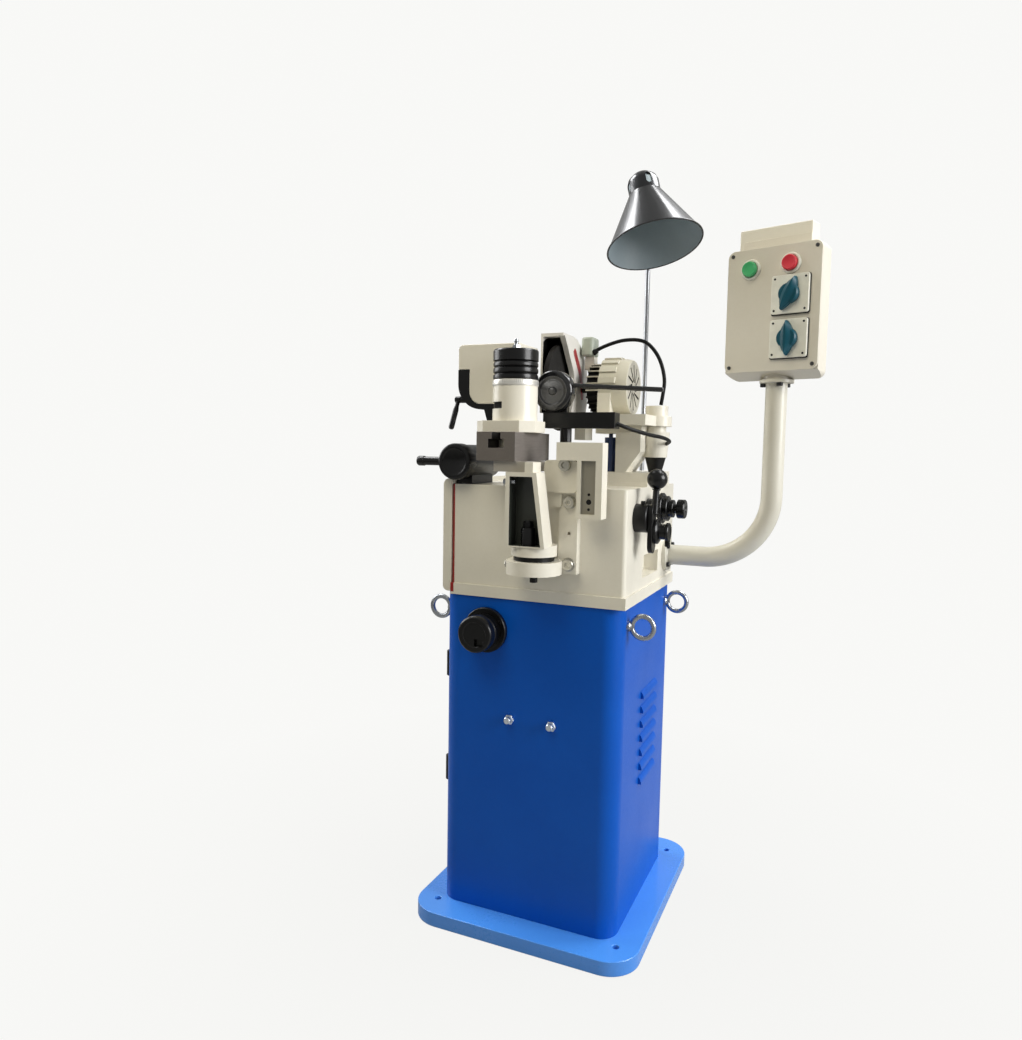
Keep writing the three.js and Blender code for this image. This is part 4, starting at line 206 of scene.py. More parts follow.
def enamel(name, colour, shade, rough, coat, peel, swell=0.0, marks=(), shine=0.5):
    """Sprayed enamel: its colour drifts to a second shade, and orange peel and the casting's swelling show."""
    material, make, surface = blank(name)
    place = make.add("ShaderNodeTexCoord", output="Object")
    cloud = noise(make, place, 7.0, 4.0, 0.55)
    specks = noise(make, place, 160.0, 2.0, 0.6)
    grain = noise(make, place, 520.0, 2.0)
    waves = noise(make, place, 34.0, 3.0)
    drift = (cloud * 0.75 + specks * 0.25 - 0.36) * 1.9
    hue = marked(make, place, mixed_colour(make, drift, colour, shade), marks)
    height = grain * peel + waves * swell
    bump = make.add("ShaderNodeBump", values={"Strength": 0.35, "Distance": 0.0006, "Height": height})
    gloss = rough + (cloud - 0.5) * 0.18 + (specks - 0.5) * 0.1
    paint = make.add("ShaderNodeBsdfPrincipled", values={
        "Base Color": hue, "Roughness": gloss, "Normal": bump, "Coat Weight": coat, "Coat Roughness": 0.12,
        "Specular IOR Level": shine,
    })
    make.tree.links.new(paint.socket, surface)
    return material


def rounded_edges():
    """The node group behind dress(): joins split corners and shades soft only across shallow edges."""
    group = bpy.data.node_groups.new("soft_corners", "GeometryNodeTree")
    group.interface.new_socket("Geometry", in_out="INPUT", socket_type="NodeSocketGeometry")
    group.interface.new_socket("Geometry", in_out="OUTPUT", socket_type="NodeSocketGeometry")
    make = Signal(group)
    smooth = "GeometryNodeSetShadeSmooth"
    entry = make.add("NodeGroupInput")
    drop = make.add("GeometryNodeRemoveAttribute", values={"Geometry": entry, "Name": "custom_normal"})
    joined = make.add("GeometryNodeMergeByDistance", values={"Geometry": drop, "Distance": 0.00001})
    faces = make.add(smooth, {"domain": "FACE"}, {"Geometry": joined, "Shade Smooth": True})
    slope = make.add("GeometryNodeInputMeshEdgeAngle")
    less = {"data_type": "FLOAT", "operation": "LESS_THAN"}
    shallow = make.add("FunctionNodeCompare", less, {0: slope, 1: math.radians(34)})
    edges = make.add(smooth, {"domain": "EDGE"}, {"Geometry": faces, "Shade Smooth": shallow})
    leave = group.nodes.new("NodeGroupOutput")
    make.tree.links.new(edges.socket, leave.inputs[0])
    return group


soft_corners = rounded_edges()


def broken_edges(piece, width, segments=2):
    """Breaks a piece's sharp edges by a small bevel, as paint and machining leave them."""
    bevel = piece.modifiers.new("broken_edges", "BEVEL")
    bevel.width = width * mm
    bevel.segments = segments
    bevel.limit_method = "ANGLE"
    bevel.angle_limit = math.radians(36)
    bevel.harden_normals = True
    bevel.use_clamp_overlap = True


def dress(node, material, edge=0.8):
    """Gives a CAD node its finish and breaks its sharp edges."""
    piece = nodes[node]
    piece.data.materials.clear()
    piece.data.materials.append(material)
    smooth = piece.modifiers.new("soft_corners", "NODES")
    smooth.node_group = soft_corners
    if edge:
        flat = piece.modifiers.new("flat_faces", "DECIMATE")
        flat.decimate_type = "DISSOLVE"
        flat.angle_limit = math.radians(0.6)
        broken_edges(piece, edge)
    return piece


# A lighter copy of the cabinet's blue: painted light for the brightly lit top.
plate_blue, plate_shade = tone(76, 148, 238), tone(67, 139, 228)
plate_enamel_painted_light = enamel("plate_enamel_painted_light", plate_blue, plate_shade, 0.3, 0.6, 0.4)
dress("base_plate", plate_enamel_painted_light, 2.2)

# Cabinet: one folded and welded sheet box with pressed louvres in its right side. Its service door hangs at
# the left on two blackened lift-off hinges, and a quarter-turn latch holds it. All else is blue enamel.
blue, blue_shade = tone(5, 86, 188), tone(3, 78, 177)
blue_enamel = enamel("blue_enamel", blue, blue_shade, 0.34, 0.0, 0.5, shine=0.2)
dress("cabinet_shell", blue_enamel, 0.7)
dress("cabinet_door", blue_enamel, 0.5)


def made(name, mesh, material, body, stands_for=(), edge=0.0, bend=32, place=None):
    """A piece from a mesh in millimetres: cleaned, shaded across shallow edges and set on its body."""
    if place:
        bmesh.ops.transform(mesh, matrix=place, verts=mesh.verts)
    bmesh.ops.remove_doubles(mesh, verts=mesh.verts, dist=0.0001)
    bmesh.ops.recalc_face_normals(mesh, faces=mesh.faces)
    bmesh.ops.scale(mesh, vec=(mm, mm, mm), verts=mesh.verts)
    data = bpy.data.meshes.new(name)
    mesh.to_mesh(data)
    mesh.free()
    data.shade_smooth()
    data.set_sharp_from_angle(angle=math.radians(bend))
    data.materials.append(material)
    piece = bpy.data.objects.new(name, data)
    bpy.context.scene.collection.objects.link(piece)
    if edge:
        broken_edges(piece, edge, 3)
    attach(piece, body)
    if stands_for:
        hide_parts(*stands_for)
    return piece


def turned(profile, centre, direction=(0, 0, 1), sides=72):
    """A turned solid from [radius, distance along its axis] pairs."""
    mesh = bmesh.new()
    points = [mesh.verts.new((radius, 0, along)) for radius, along in profile]
    lines = [mesh.edges.new(pair) for pair in zip(points, points[1:])]
    bmesh.ops.spin(
        mesh, geom=points + lines, cent=(0, 0, 0), axis=(0, 0, 1), dvec=(0, 0, 0),
        angle=math.tau, steps=sides, use_merge=True, use_normal_flip=False, use_duplicate=False,
    )
    bmesh.ops.remove_doubles(mesh, verts=mesh.verts, dist=0.001)
    turn = Vector(direction).to_track_quat("Z", "Y").to_matrix().to_4x4()
    bmesh.ops.transform(mesh, matrix=Matrix.Translation(centre) @ turn, verts=mesh.verts)
    return mesh


def joined(first, *others):
    """Several meshes as one."""
    for other in others:
        data = bpy.data.meshes.new("part")
        other.to_mesh(data)
        other.free()
        first.from_mesh(data)
        bpy.data.meshes.remove(data)
    return first


def metal(name, colour, rough, streak=(1.0, 1.0, 1.0), scale=260.0, cast=0.0, bare=1.0, marks=(), coat=0.0):
    """Bare or plated metal: streaks of the tool or of handling in its gloss, and pits where it is cast."""
    material, make, surface = blank(name)
    place = make.add("ShaderNodeTexCoord", output="Object")
    stretched = make.add("ShaderNodeVectorMath", {"operation": "MULTIPLY"}, {0: place, 1: streak})
    lines = noise(make, stretched, scale, 3.0, 0.6)
    cloud = noise(make, place, 30.0, 4.0)
    dull = tuple(c * 0.72 for c in colour[:3]) + (1,)
    wear = (cloud * 0.6 + lines * 0.4 - 0.33) * 1.8
    hue = marked(make, place, mixed_colour(make, wear, colour, dull), marks)
    bump = make.add("ShaderNodeBump", values={"Strength": 0.25 + cast, "Distance": 0.0003, "Height": lines})
    gloss = rough + (lines - 0.5) * 0.25 + (cloud - 0.5) * 0.15
    plate = make.add("ShaderNodeBsdfPrincipled", values={
        "Base Color": hue, "Roughness": gloss, "Normal": bump, "Metallic": bare, "Coat Weight": coat,
        "Coat Roughness": 0.15,
    })
    make.tree.links.new(plate.socket, surface)
    return material


black_steel = metal("blackened_steel", tone(58, 58, 60), 0.38, bare=0.8)
hinge_x, hinge_y, hinge_length, knuckle, pin_end = -176.2, -138.3, 46, 5.0, 1.5
hinge_gap = hinge_length / 2
for name, low in (("hinge_low", 238), ("hinge_high", 438)):
    made(name, turned([
        (0, -pin_end), (3.2, -pin_end), (knuckle, 0), (knuckle, hinge_gap - 0.4), (4.4, hinge_gap),
        (knuckle, hinge_gap + 0.4), (knuckle, hinge_length), (3.2, hinge_length + pin_end),
        (0, hinge_length + pin_end),
    ], (hinge_x, hinge_y, low), sides=32), black_steel, "frame")


def plastic(name, colour, rough, grain=0.3, coat=0.0, marks=(), shine=0.5):
    """Moulded plastic: one colour, a fine grain from the mould and slightly uneven gloss from handling."""
    material, make, surface = blank(name)
    place = make.add("ShaderNodeTexCoord", output="Object")
    fine = noise(make, place, 900.0, 2.0)
    smears = noise(make, place, 45.0, 4.0, 0.6)
    darker = tuple(c * 0.8 for c in colour[:3]) + (1,)
    hue = marked(make, place, mixed_colour(make, (smears - 0.35) * 1.4, colour, darker), marks)
    bump = make.add("ShaderNodeBump", values={"Strength": grain, "Distance": 0.0002, "Height": fine})
    gloss = rough + (smears - 0.5) * 0.22
    shell = make.add("ShaderNodeBsdfPrincipled", values={
        "Base Color": hue, "Roughness": gloss, "Normal": bump, "Coat Weight": coat, "Coat Roughness": 0.1,
        "Specular IOR Level": shine,
    })
    make.tree.links.new(shell.socket, surface)
    return material


black_plastic = plastic("black_plastic", tone(9, 9, 10), 0.3, coat=0.2, shine=0.3)
dress("door_latch", black_plastic, 0.5)

# Eye bolts: four forged lifting eyes, zinc plated, each with a round collar that seats on the sheet.
# They are screwed into the cabinet's sides close under the casting.
zinc = metal("zinc_plate", tone(182, 186, 191), 0.28, scale=90.0, cast=-0.22)
ring_radius, wire_radius, ring_stand_off, eye_z = 18.6, 4.4, 25.5, 566


def circle(radius, count, start=0.0):
    """Points spread evenly round a circle; the first lies at the share start of their spacing."""
    turns = [math.tau * (i + start) / count for i in range(count)]
    return [(radius * math.cos(turn), radius * math.sin(turn)) for turn in turns]


def wire_section(ring, wire, count, along=0.0):
    """The closed section of a round wire bent to a ring, to be turned."""
    section = circle(wire, count)
    return [(ring + out, along + up) for out, up in section + section[:1]]


for end, y in (("front", -136), ("rear", 124)):
    for side, wall in ((-1, -170), (1, 162.5)):
        name = "eye_bolt_" + end + ("_left" if side < 0 else "_right")
        made(name + "_forging", joined(
            turned(wire_section(ring_radius, wire_radius, 20),
                   (wall + side * ring_stand_off, y, eye_z), (0, 1, 0), 64),
            turned([(0, -1), (9, -1), (9, 4.2), (7.5, 5.6), (4.8, 7.4), (4.4, 10.5), (0, 10.5)],
                   (wall, y, eye_z), (side, 0, 0), 40),
        ), zinc, "frame", (name,))

# Coolant valve knob: a stepped phenolic knob on a black flange, screwed to the cabinet's front panel,
# with two plated clamping bolts some way below it.
black_enamel = enamel("black_enamel", tone(9, 9, 9), tone(14, 14, 14), 0.34, 0.08, 0.2, shine=0.3)
knob_x, knob_z, front_face = -82, 542, -177
flange_depth, flange_screw_ring = 9, 34


def screw(radius, height, centre, direction, socket=0.5, sides=32):
    """A cap screw's head with a round recess; with six sides it is a hexagon head."""
    well = radius * socket
    return turned([
        (0, height * 0.45), (well * 0.9, height * 0.45), (well, height), (radius * 0.88, height),
        (radius, height * 0.86), (radius, -0.5), (0, -0.5),
    ], centre, direction, sides)


made("knob_flange_turned", joined(
    turned([
        (0, 0), (40, 0), (40, 7.4), (38.6, flange_depth), (36.5, flange_depth), (36, 8.4), (30, 8.4), (0, 8.4),
    ], (knob_x, front_face, knob_z), (0, -1, 0), 96),
    *[screw(3.2, 2, (knob_x + out, front_face - flange_depth, knob_z + up), (0, -1, 0), sides=20)
      for out, up in circle(flange_screw_ring, 3, 0.25)],
), black_enamel, "frame", ("knob_flange",))


def slab(x0, x1, y0, y1, z0, z1):
    """A plain block, to cut with or to join to a larger piece."""
    mesh = bmesh.new()
    size = Matrix.Diagonal((x1 - x0, y1 - y0, z1 - z0, 1))
    middle = Matrix.Translation(((x0 + x1) / 2, (y0 + y1) / 2, (z0 + z1) / 2))
    bmesh.ops.create_cube(mesh, size=1, matrix=middle @ size)
    return mesh


def carved(mesh, *cutters):
    """A mesh with others cut out of it."""
    shapes = []
    for part in (mesh, *cutters):
        bmesh.ops.remove_doubles(part, verts=part.verts, dist=0.0001)
        bmesh.ops.recalc_face_normals(part, faces=part.faces)
        data = bpy.data.meshes.new("shape")
        part.to_mesh(data)
        part.free()
        shape = bpy.data.objects.new("shape", data)
        bpy.context.scene.collection.objects.link(shape)
        shapes.append(shape)
    for cutter in shapes[1:]:
        cut = shapes[0].modifiers.new("cut", "BOOLEAN")
        cut.object = cutter
        cut.solver = "EXACT"
    result = bmesh.new()
    bpy.context.view_layer.update()
    result.from_object(shapes[0], bpy.context.evaluated_depsgraph_get())
    for shape in shapes:
        data = shape.data
        bpy.data.objects.remove(shape)
        bpy.data.meshes.remove(data)
    return result


made("front_knob_turned", carved(
    turned([
        (0, 9.3), (30.4, 9.3), (30.4, 25.6), (28.8, 27.3), (27, 27.3), (27, 32.3), (30.8, 32.3), (32, 33.5),
        (32, 47), (31, 49), (29, 50.3), (22, 50.3), (21, 49.4), (0, 49.4),
    ], (knob_x, front_face, knob_z), (0, -1, 0), 96),
    slab(knob_x, knob_x + 17, front_face - 52, front_face - 43.3, knob_z - 20, knob_z - 7),
), black_plastic, "knob_front", ("front_knob",), edge=0.7)
bright_zinc = metal("bright_zinc", tone(226, 234, 244), 0.3)
clamp_bolt_z = 386.4
for name, x in (("front_bolt_left", -34.8), ("front_bolt_right", 44.2)):
    bolt_at = (x, front_face, clamp_bolt_z)
    made(name + "_turned", joined(
        turned([(0, 0), (6.5, 0), (6.5, 11.4), (5, 13), (0, 13)], bolt_at, (0, -1, 0), 40),
        turned([(0, 0), (9.5, 0), (9.5, 4.2), (8.6, 5), (0, 5)], bolt_at, (0, -1, 0), 6),
    ), bright_zinc, "frame", (name,))

# Body: a hollow grey-iron casting, filled, rubbed down and sprayed cream, with a skirt over the cabinet's
# top, a red trim line down its left front edge and a rounded cover along its left side.
cream, cream_shade, trim_red = tone(231, 227, 214), tone(222, 217, 202), tone(150, 34, 30)


def sprayed_cream(name, *marks):
    """The castings' cream enamel, with a second colour where a mark says."""
    return enamel(name, cream, cream_shade, 0.36, 0.2, 0.4, 0.5, marks)


cream_enamel = sprayed_cream("cream_enamel")
striped_cream = sprayed_cream("cream_enamel_with_trim_line", (
    lambda x, y, z: (x < -147.6) * (y < -169.5) * (z > 604), trim_red,
))
dress("body_casting", striped_cream, 1.4)
dress("left_side_cover", cream_enamel, 1.0)

# Bent tube and its flanges: drawn steel tube in cream enamel, bolted by four hexagon screws to the body's
# right side and by black ones under the control box. Its cream is a darker copy, painted shade against the
# strong light it takes.
tube_x, tube_y, tube_z, tube_radius, bend_radius = 359.5, 100, 662, 19, 118
side_flange, box_floor = 166.5, 992


def smooth_line(points, steps):
    """A smooth line through the points; with one step it runs straight between them."""
    route = [Vector(point) for point in points]
    route = [route[0] * 2 - route[1]] + route + [route[-1] * 2 - route[-2]]
    line = []
    for a, b, c, d in zip(route, route[1:], route[2:], route[3:]):
        for i in range(steps):
            t = i / steps
            line.append((b * 2 + (c - a) * t + (a * 2 - b * 5 + c * 4 - d) * t ** 2
                         + (b * 3 - a - c * 3 + d) * t ** 3) / 2)
    return line + [route[-2]]


def swept(points, radius, steps=8, sides=20):
    """A round bar, tube or cable along a line through the points."""
    line = smooth_line(points, steps)
    mesh = bmesh.new()
    rings = []
    across = (line[1] - line[0]).orthogonal()
    turns = [math.tau * k / sides for k in range(sides)]
    for i, middle in enumerate(line):
        ahead = (line[min(i + 1, len(line) - 1)] - line[max(i - 1, 0)]).normalized()
        across = (across - ahead * across.dot(ahead)).normalized()
        beside = ahead.cross(across)
        rings.append([
            mesh.verts.new(middle + (across * math.cos(turn) + beside * math.sin(turn)) * radius)
            for turn in turns
        ])
    for low, high in zip(rings, rings[1:]):
        for k in range(sides):
            mesh.faces.new((low[k - 1], low[k], high[k], high[k - 1]))
    mesh.faces.new(rings[0])
    mesh.faces.new(rings[-1])
    return mesh


# A darker copy of the cream: painted shade that tones down the light on the tube.
tube_enamel_painted_shade = enamel("tube_enamel_painted_shade", tone(214, 211, 198), tone(206, 202, 188), 0.36, 0.2, 0.4)
bend_steps = 32
bend_turns = [math.pi / 2 * i / bend_steps for i in range(bend_steps + 1)]
bend = [
    (
        tube_x - bend_radius + bend_radius * math.sin(turn),
        tube_y,
        tube_z + bend_radius - bend_radius * math.cos(turn),
    )
    for turn in bend_turns
]
made("bent_tube", joined(
    swept([(170, tube_y, tube_z), *bend, (tube_x, tube_y, 989)], tube_radius, 1, 64),
    turned([(0, 0), (31, 0), (31, 7.2), (30.2, 8), (20.6, 8), (tube_radius, 9.6), (0, 9.6)],
           (side_flange, tube_y, tube_z), (1, 0, 0), 72),
    turned([(0, -6), (29.2, -6), (30, -5.2), (30, 0), (0, 0)], (tube_x, tube_y, box_floor), sides=72),
), tube_enamel_painted_shade, "frame", ("tube_arm",))
made("tube_flange_screws", joined(*[
    screw(5, 5, (side_flange + 8, tube_y + out, tube_z + up), (1, 0, 0), 0.3, 6)
    for out, up in circle(25, 4, 0.5)
]), black_steel, "frame")
made("box_screws", joined(*[
    screw(5.6, 6, (tube_x + out, tube_y + back, box_floor - 6), (0, 0, -1), 0.3, 6)
    for out, back in circle(24.5, 3, 0.4)
]), black_steel, "frame")

# Control box: a folded sheet box and its screwed lid in grey-cream enamel, on a boss over the tube's end,
# with a green and a red push button and two rotary cam switches on square plates. A black sheet behind each
# plate shows round it, most along its lower edge, as a painted shadow.
box_enamel = enamel("box_enamel", tone(224, 219, 206), tone(216, 210, 196), 0.38, 0.2, 0.6)
dress("box_pan", box_enamel, 2.2)
dress("box_lid", box_enamel, 1.6)
box_turn, lid_face = -0.281, 38
box_place = Matrix.Translation((tube_x, tube_y, box_floor)) @ Matrix.Rotation(box_turn, 4, "Z")
# The hood's enamel is a lighter copy of the box's: painted light on the hood.
hood_enamel_painted_light = enamel("hood_enamel_painted_light", tone(230, 226, 213), tone(224, 219, 205), 0.4, 0.2, 0.6)
made("box_hood", slab(-83, 51, 3.4, 38.6, 39, 275), hood_enamel_painted_light, "control_box",
     place=box_place, edge=2.4)
dull_screw = metal("dull_screw", tone(92, 92, 90), 0.4, bare=0.6)
cross_long, cross_wide, cross_top, cross_floor = 2.6, 0.45, -lid_face - 3, -lid_face - 1
made("lid_screws", joined(*[
    carved(
        turned([(0, -0.5), (3.4, -0.5), (3.4, 0.9), (2.4, 1.7), (0, 1.9)], (x, -lid_face, z), (0, -1, 0), 24),
        slab(x - cross_long, x + cross_long, cross_top, cross_floor, z - cross_wide, z + cross_wide),
        slab(x - cross_wide, x + cross_wide, cross_top, cross_floor, z - cross_long, z + cross_long),
    )
    for x in (-75.5, 75.5) for z in (22, 220)
]), dull_screw, "control_box", place=box_place)
switch_white = plastic("switch_white", tone(242, 241, 230), 0.35, coat=0.3)
green = plastic("green_plastic", tone(66, 178, 112), 0.34, coat=0.3)
red = plastic("red_plastic", tone(216, 50, 66), 0.34, coat=0.3)
for name, plain, slot, body, x, z in (
    ("green_button", green, "green_plastic", "start_button", -41, 193),
    ("red_button", red, "red_plastic", "stop_button", 31, 196),
):
    made(name + "_cap", turned([
        (0, 34), (8, 34), (8, 41), (13, 41), (13, 47.6), (12.4, 48.6), (11.2, 49), (10, 48.5), (0, 48.1),
    ], (x, 0, z), (0, -1, 0), 64), plain, body, (name,), place=box_place)
    made(name + "_bezel", turned([
        (13.7, 37.5), (18, 37.5), (18, 39.5), (16.4, 42.4), (14.6, 42.4), (13.7, 41.2), (13.7, 37.5),
    ], (x, 0, z), (0, -1, 0), 64), switch_white, "control_box", place=box_place)


def pushed(outline, start, end, plane):
    """An outline in two axes, pushed along the third one."""
    seat = {
        "xy": lambda a, b, c: (a, b, c), "xz": lambda a, b, c: (a, c, b), "yz": lambda a, b, c: (c, a, b),
    }[plane]
    mesh = bmesh.new()
    low = [mesh.verts.new(seat(a, b, start)) for a, b in outline]
    high = [mesh.verts.new(seat(a, b, end)) for a, b in outline]
    mesh.faces.new(low)
    mesh.faces.new(high)
    for i in range(len(outline)):
        mesh.faces.new((low[i - 1], low[i], high[i], high[i - 1]))
    return mesh


def rounded(x0, x1, z0, z1, radius, steps=6):
    """A rectangle's outline with round corners."""
    left, right, low, high = x0 + radius, x1 - radius, z0 + radius, z1 - radius
    points = []
    for i, (x, z) in enumerate(((right, high), (left, high), (left, low), (right, low))):
        for k in range(steps + 1):
            turn = math.pi / 2 * (i + k / steps)
            points.append((x + radius * math.cos(turn), z + radius * math.sin(turn)))
    return points


teal = plastic("teal_plastic", tone(2, 72, 88), 0.42, 0.1, shine=0.35)
switch_x, plate_half, grip_half, grip_width, grip_steps = 34, 33, 30, 12, 16


def lens(wide, long):
    """The grip's outline at one level, pointed at both ends."""
    return [
        (side * wide * (1 - (2 * i / grip_steps - 1) ** 2), long * (2 * i / grip_steps - 1) * side)
        for side in (1, -1) for i in range(grip_steps)
    ]


def grip():
    """The switch knob's grip: a pointed oval that narrows to a blunt ridge."""
    mesh = bmesh.new()
    levels = [
        (0.1, grip_width, grip_half), (9, grip_width, grip_half),
        (14.5, 5.2, grip_half - 1.5), (16, 2.4, grip_half - 4),
    ]
    rings = [[mesh.verts.new((x, -up, z)) for x, z in lens(wide, long)] for up, wide, long in levels]
    for low, high in zip(rings, rings[1:]):
        for i in range(len(low)):
            mesh.faces.new((low[i - 1], low[i], high[i], high[i - 1]))
    mesh.faces.new(rings[0])
    mesh.faces.new(rings[-1])
    return mesh


for level, z, turn in (("upper", 142.5, 0.42), ("lower", 67, 0.0)):
    dress("switch_plate_" + level, switch_white, 1.0)
    # A black sheet behind the plate: a painted shadow round it, widest below.
    made("switch_plate_painted_shadow_" + level, pushed(rounded(
        switch_x - plate_half - 1, switch_x + plate_half + 1, z - plate_half - 1.6, z + plate_half + 0.6, 4,
    ), -lid_face - 2.6, -lid_face + 0.2, "xz"), black_plastic, "control_box",
        place=box_place, edge=0.3)
    made("switch_plate_screws_" + level, joined(*[
        screw(1.9, 0.7, (switch_x + 27 * sx, -lid_face - 7.3, z + 27 * sz), (0, -1, 0), 0.45, 20)
        for sx in (-1, 1) for sz in (-1, 1)
    ]), black_steel, "control_box", place=box_place)
    knob_seat = box_place @ Matrix.Translation((switch_x, -lid_face - 7.6, z))
    knob_place = knob_seat @ Matrix.Rotation(turn, 4, "Y")
    knob, knob_body = "switch_knob_" + level, level + "_switch"
    made(knob + "_disc", turned([
        (0, 0), (17.5, 0), (17.5, 6), (17.1, 8.6), (15.4, 10.6), (13, 11), (0, 11),
    ], (0, 0, 0), (0, -1, 0), 72), teal, knob_body, (knob,), place=knob_place)
    made(knob + "_grip", grip(), teal, knob_body, place=knob_place, bend=24)

# Work lamp: a plated rod in a foot on the body's rear corner, a black swivel arm, and a spun steel shade,
# glossy black outside and grey inside, round a white lampholder and bulb.
lamp_x, lamp_y, lamp_top, body_top = 104, 142, 1335, 797
drawn_rod = metal("drawn_rod", tone(176, 178, 182), 0.3, (1, 1, 0.04), 400.0, -0.2)
made("lamp_rod", turned([
    (0, body_top), (17, body_top), (17, body_top + 4.6), (15.6, body_top + 6), (8.5, body_top + 6),
    (6.5, body_top + 9), (4.5, body_top + 10), (4.5, 1315.7), (8.4, 1315.7), (9, 1316.4), (9, 1329),
    (8.4, 1329.7), (4.5, 1329.7), (4.5, lamp_top), (0, lamp_top),
], (lamp_x, lamp_y, 0), sides=48), drawn_rod, "frame", ("lamp_stand",))
dress("lamp_arm", black_enamel, 0.4)
shade_black = metal("shade_black", tone(56, 57, 59), 0.36, scale=3.0, cast=-0.25, coat=0.7)
shade_grey = enamel("shade_lining", tone(150, 163, 170), tone(136, 149, 157), 0.5, 0.0, 0.3)
shade_axis = Vector((-0.2537, 0.1833, 0.9503)).normalized()
shade_turn = Vector((0, 0, 1)).rotation_difference(shade_axis).to_matrix().to_4x4()
shade_place = Matrix.Translation((113.5, 70, 1335)) @ shade_turn
dress("lamp_shade", shade_black, 0)
rim_radius, rim_wire, mouth = 87.6, 1.3, -103
made("shade_rim", turned(wire_section(rim_radius, rim_wire, 12, mouth), (0, 0, 0), sides=128),
     shade_black, "lamp_head", place=shade_place)
made("shade_lining", turned([
    (86.0, mouth - 0.2), (28.4, -0.4), (27.4, 22), (21, 31), (15, 37.6), (0, 37.6), (0, 37.2), (14.6, 37.2),
    (20.4, 30.8), (26.8, 21.8), (27.8, -0.6), (85.4, mouth - 0.2), (86.0, mouth - 0.2),
], (0, 0, 0), sides=128), shade_grey, "lamp_head", place=shade_place)
dress("lamp_bulb", plastic("opal_glass", tone(206, 206, 200), 0.25, 0.05), 0)

# Ball lever, its hub and clamp knob, and the stepped handwheel behind them: black castings and phenolic
# knobs, turned and screwed on at the body's right side.
lever_y, lever_z, side_face = -120, 748, 166.5
made("lever_hub_turned", joined(
    turned([(0, 0), (24, 0), (24, 21.4), (22.6, 23), (0, 23)], (side_face, lever_y, lever_z), (1, 0, 0), 72),
    turned([(0, 10), (4, 10), (4, 28), (3, 29), (0, 29)],
           (side_face + 11.5, lever_y, lever_z), (0, 0, 1), 24),
), black_enamel, "frame", ("lever_hub",))
ball_at = Vector((199.5, -115.33, 814))
plate_end, ball_radius = 14, 17
plate_arc = []
for half, rise in ((0, 10), (1, -44)):
    for i in range(21):
        turn = math.pi * (i / 20 + half)
        plate_arc.append((lever_y + plate_end * math.cos(turn), lever_z + rise + plate_end * math.sin(turn)))
stem = (ball_at - Vector((197.5, lever_y, lever_z + 10))).normalized()
ball_turns = [math.pi * i / 32 for i in range(3, 33)]
ball_arc = [(ball_radius * math.sin(turn), -ball_radius * math.cos(turn)) for turn in ball_turns]
made("ball_lever_plate", pushed(plate_arc, 189.8, 197.8, "yz"),
     black_enamel, "lever", ("ball_lever",), edge=1.2)
made("ball_lever_knob", turned([
    (0, -58), (6.4, -58), (5.4, -30), (5.4, -19), (7.5, -17.5), (7.5, -16.6), *ball_arc,
], ball_at, stem, 64), black_plastic, "lever")
clamp_y, clamp_z = -111, 726
made("clamp_knob_turned", joined(
    turned([
        (0, 0), (21, 0), (21, 4), (20, 5.4), (16, 7.6), (13, 9), (13, 18), (14.4, 18), (15.5, 19), (15.5, 23),
        (14.3, 24), (10.5, 24), (10, 23), (0, 23),
    ], (198.1, clamp_y, clamp_z), (1, 0, 0), 72),
    turned([(0, 12), (4.5, 12), (4.5, 23.4), (3.6, 24.4), (0, 24.4)],
           (218.8, clamp_y, clamp_z), (0, 0, -1), 24),
), black_plastic, "lever_clamp", ("clamp_knob",))
made("side_handwheel_turned", turned([
    (0, 0), (16, 0), (16, 22), (26, 22), (27, 23), (27, 28), (26, 29), (22, 29), (22, 37), (21, 38), (15.5, 38),
    (15.5, 46.2), (14.7, 47), (8, 47), (8, 53), (15.4, 53), (16.5, 54.2), (16.5, 65.4), (15, 67), (6, 67),
    (5, 66), (0, 66),
], (166.8, -45, 761), (1, 0, 0), 96), black_plastic, "handwheel", ("side_handwheel",))

# Blade holder: a cream bracket bolted to the body's front by plated cap screws, with a half-round shelf that
# carries the swivel column. The column is a cream casting with an open channel round its spindle; the channel's
# faces are painted dark grey-green as painted shade.
dress("holder_bracket", cream_enamel, 1.6)
satin_screw = metal("satin_screw", tone(196, 193, 182), 0.34)
holder_x, holder_face = 74, -193
for name, z in (("holder_screw_upper", 774), ("holder_screw_lower", 671)):
    screw_at = (holder_x, holder_face, z)
    made(name, joined(
        turned([(0, -1), (11.5, -1), (11.5, 1.2), (10.8, 1.8), (0, 1.8)], screw_at, (0, -1, 0), 48),
        turned([
            (0, 4), (3.8, 4), (4.6, 7.4), (9, 7.4), (9.9, 6.4), (9.9, -1), (0, -1),
        ], screw_at, (0, -1, 0), 48),
    ), satin_screw, "frame")
made("shelf_clamp_screw", joined(
    screw(6.4, 7, (-20, -222, 669), (-1, 0, 0), 0.5, 6),
    turned([(0, -1), (8, -1), (8, 1.4), (0, 1.4)], (-19.5, -222, 669), (-1, 0, 0), 32),
), satin_screw, "frame")
dress("pivot_pin", black_enamel, 0.5)
channel_floor, wall_lean = 705.3, 0.1356


def inside_channel(x, y, z):
    """1 on the faces inside the column's channel, whose right wall leans."""
    across = (x > -3.4) * (x + (z - channel_floor) * wall_lean < 52.4)
    return across * (y > -264.4) * (y < -236) * (z > 705) * (z < 816.8)


# The channel's inside faces take a dark grey-green: painted shade in the hollow.
column_paint = sprayed_cream("column_enamel", (inside_channel, tone(58, 61, 56)))
dress("swivel_column", column_paint, 1.2)
made("column_spindle", turned([
    (0, 0), (12, 0), (12, 26), (11, 29), (8.5, 31), (8.5, 38), (7, 40), (0, 40),
], (25, -249.5, channel_floor), sides=48), black_plastic, "holder_column")
dress("lock_screw", zinc, 0.4)
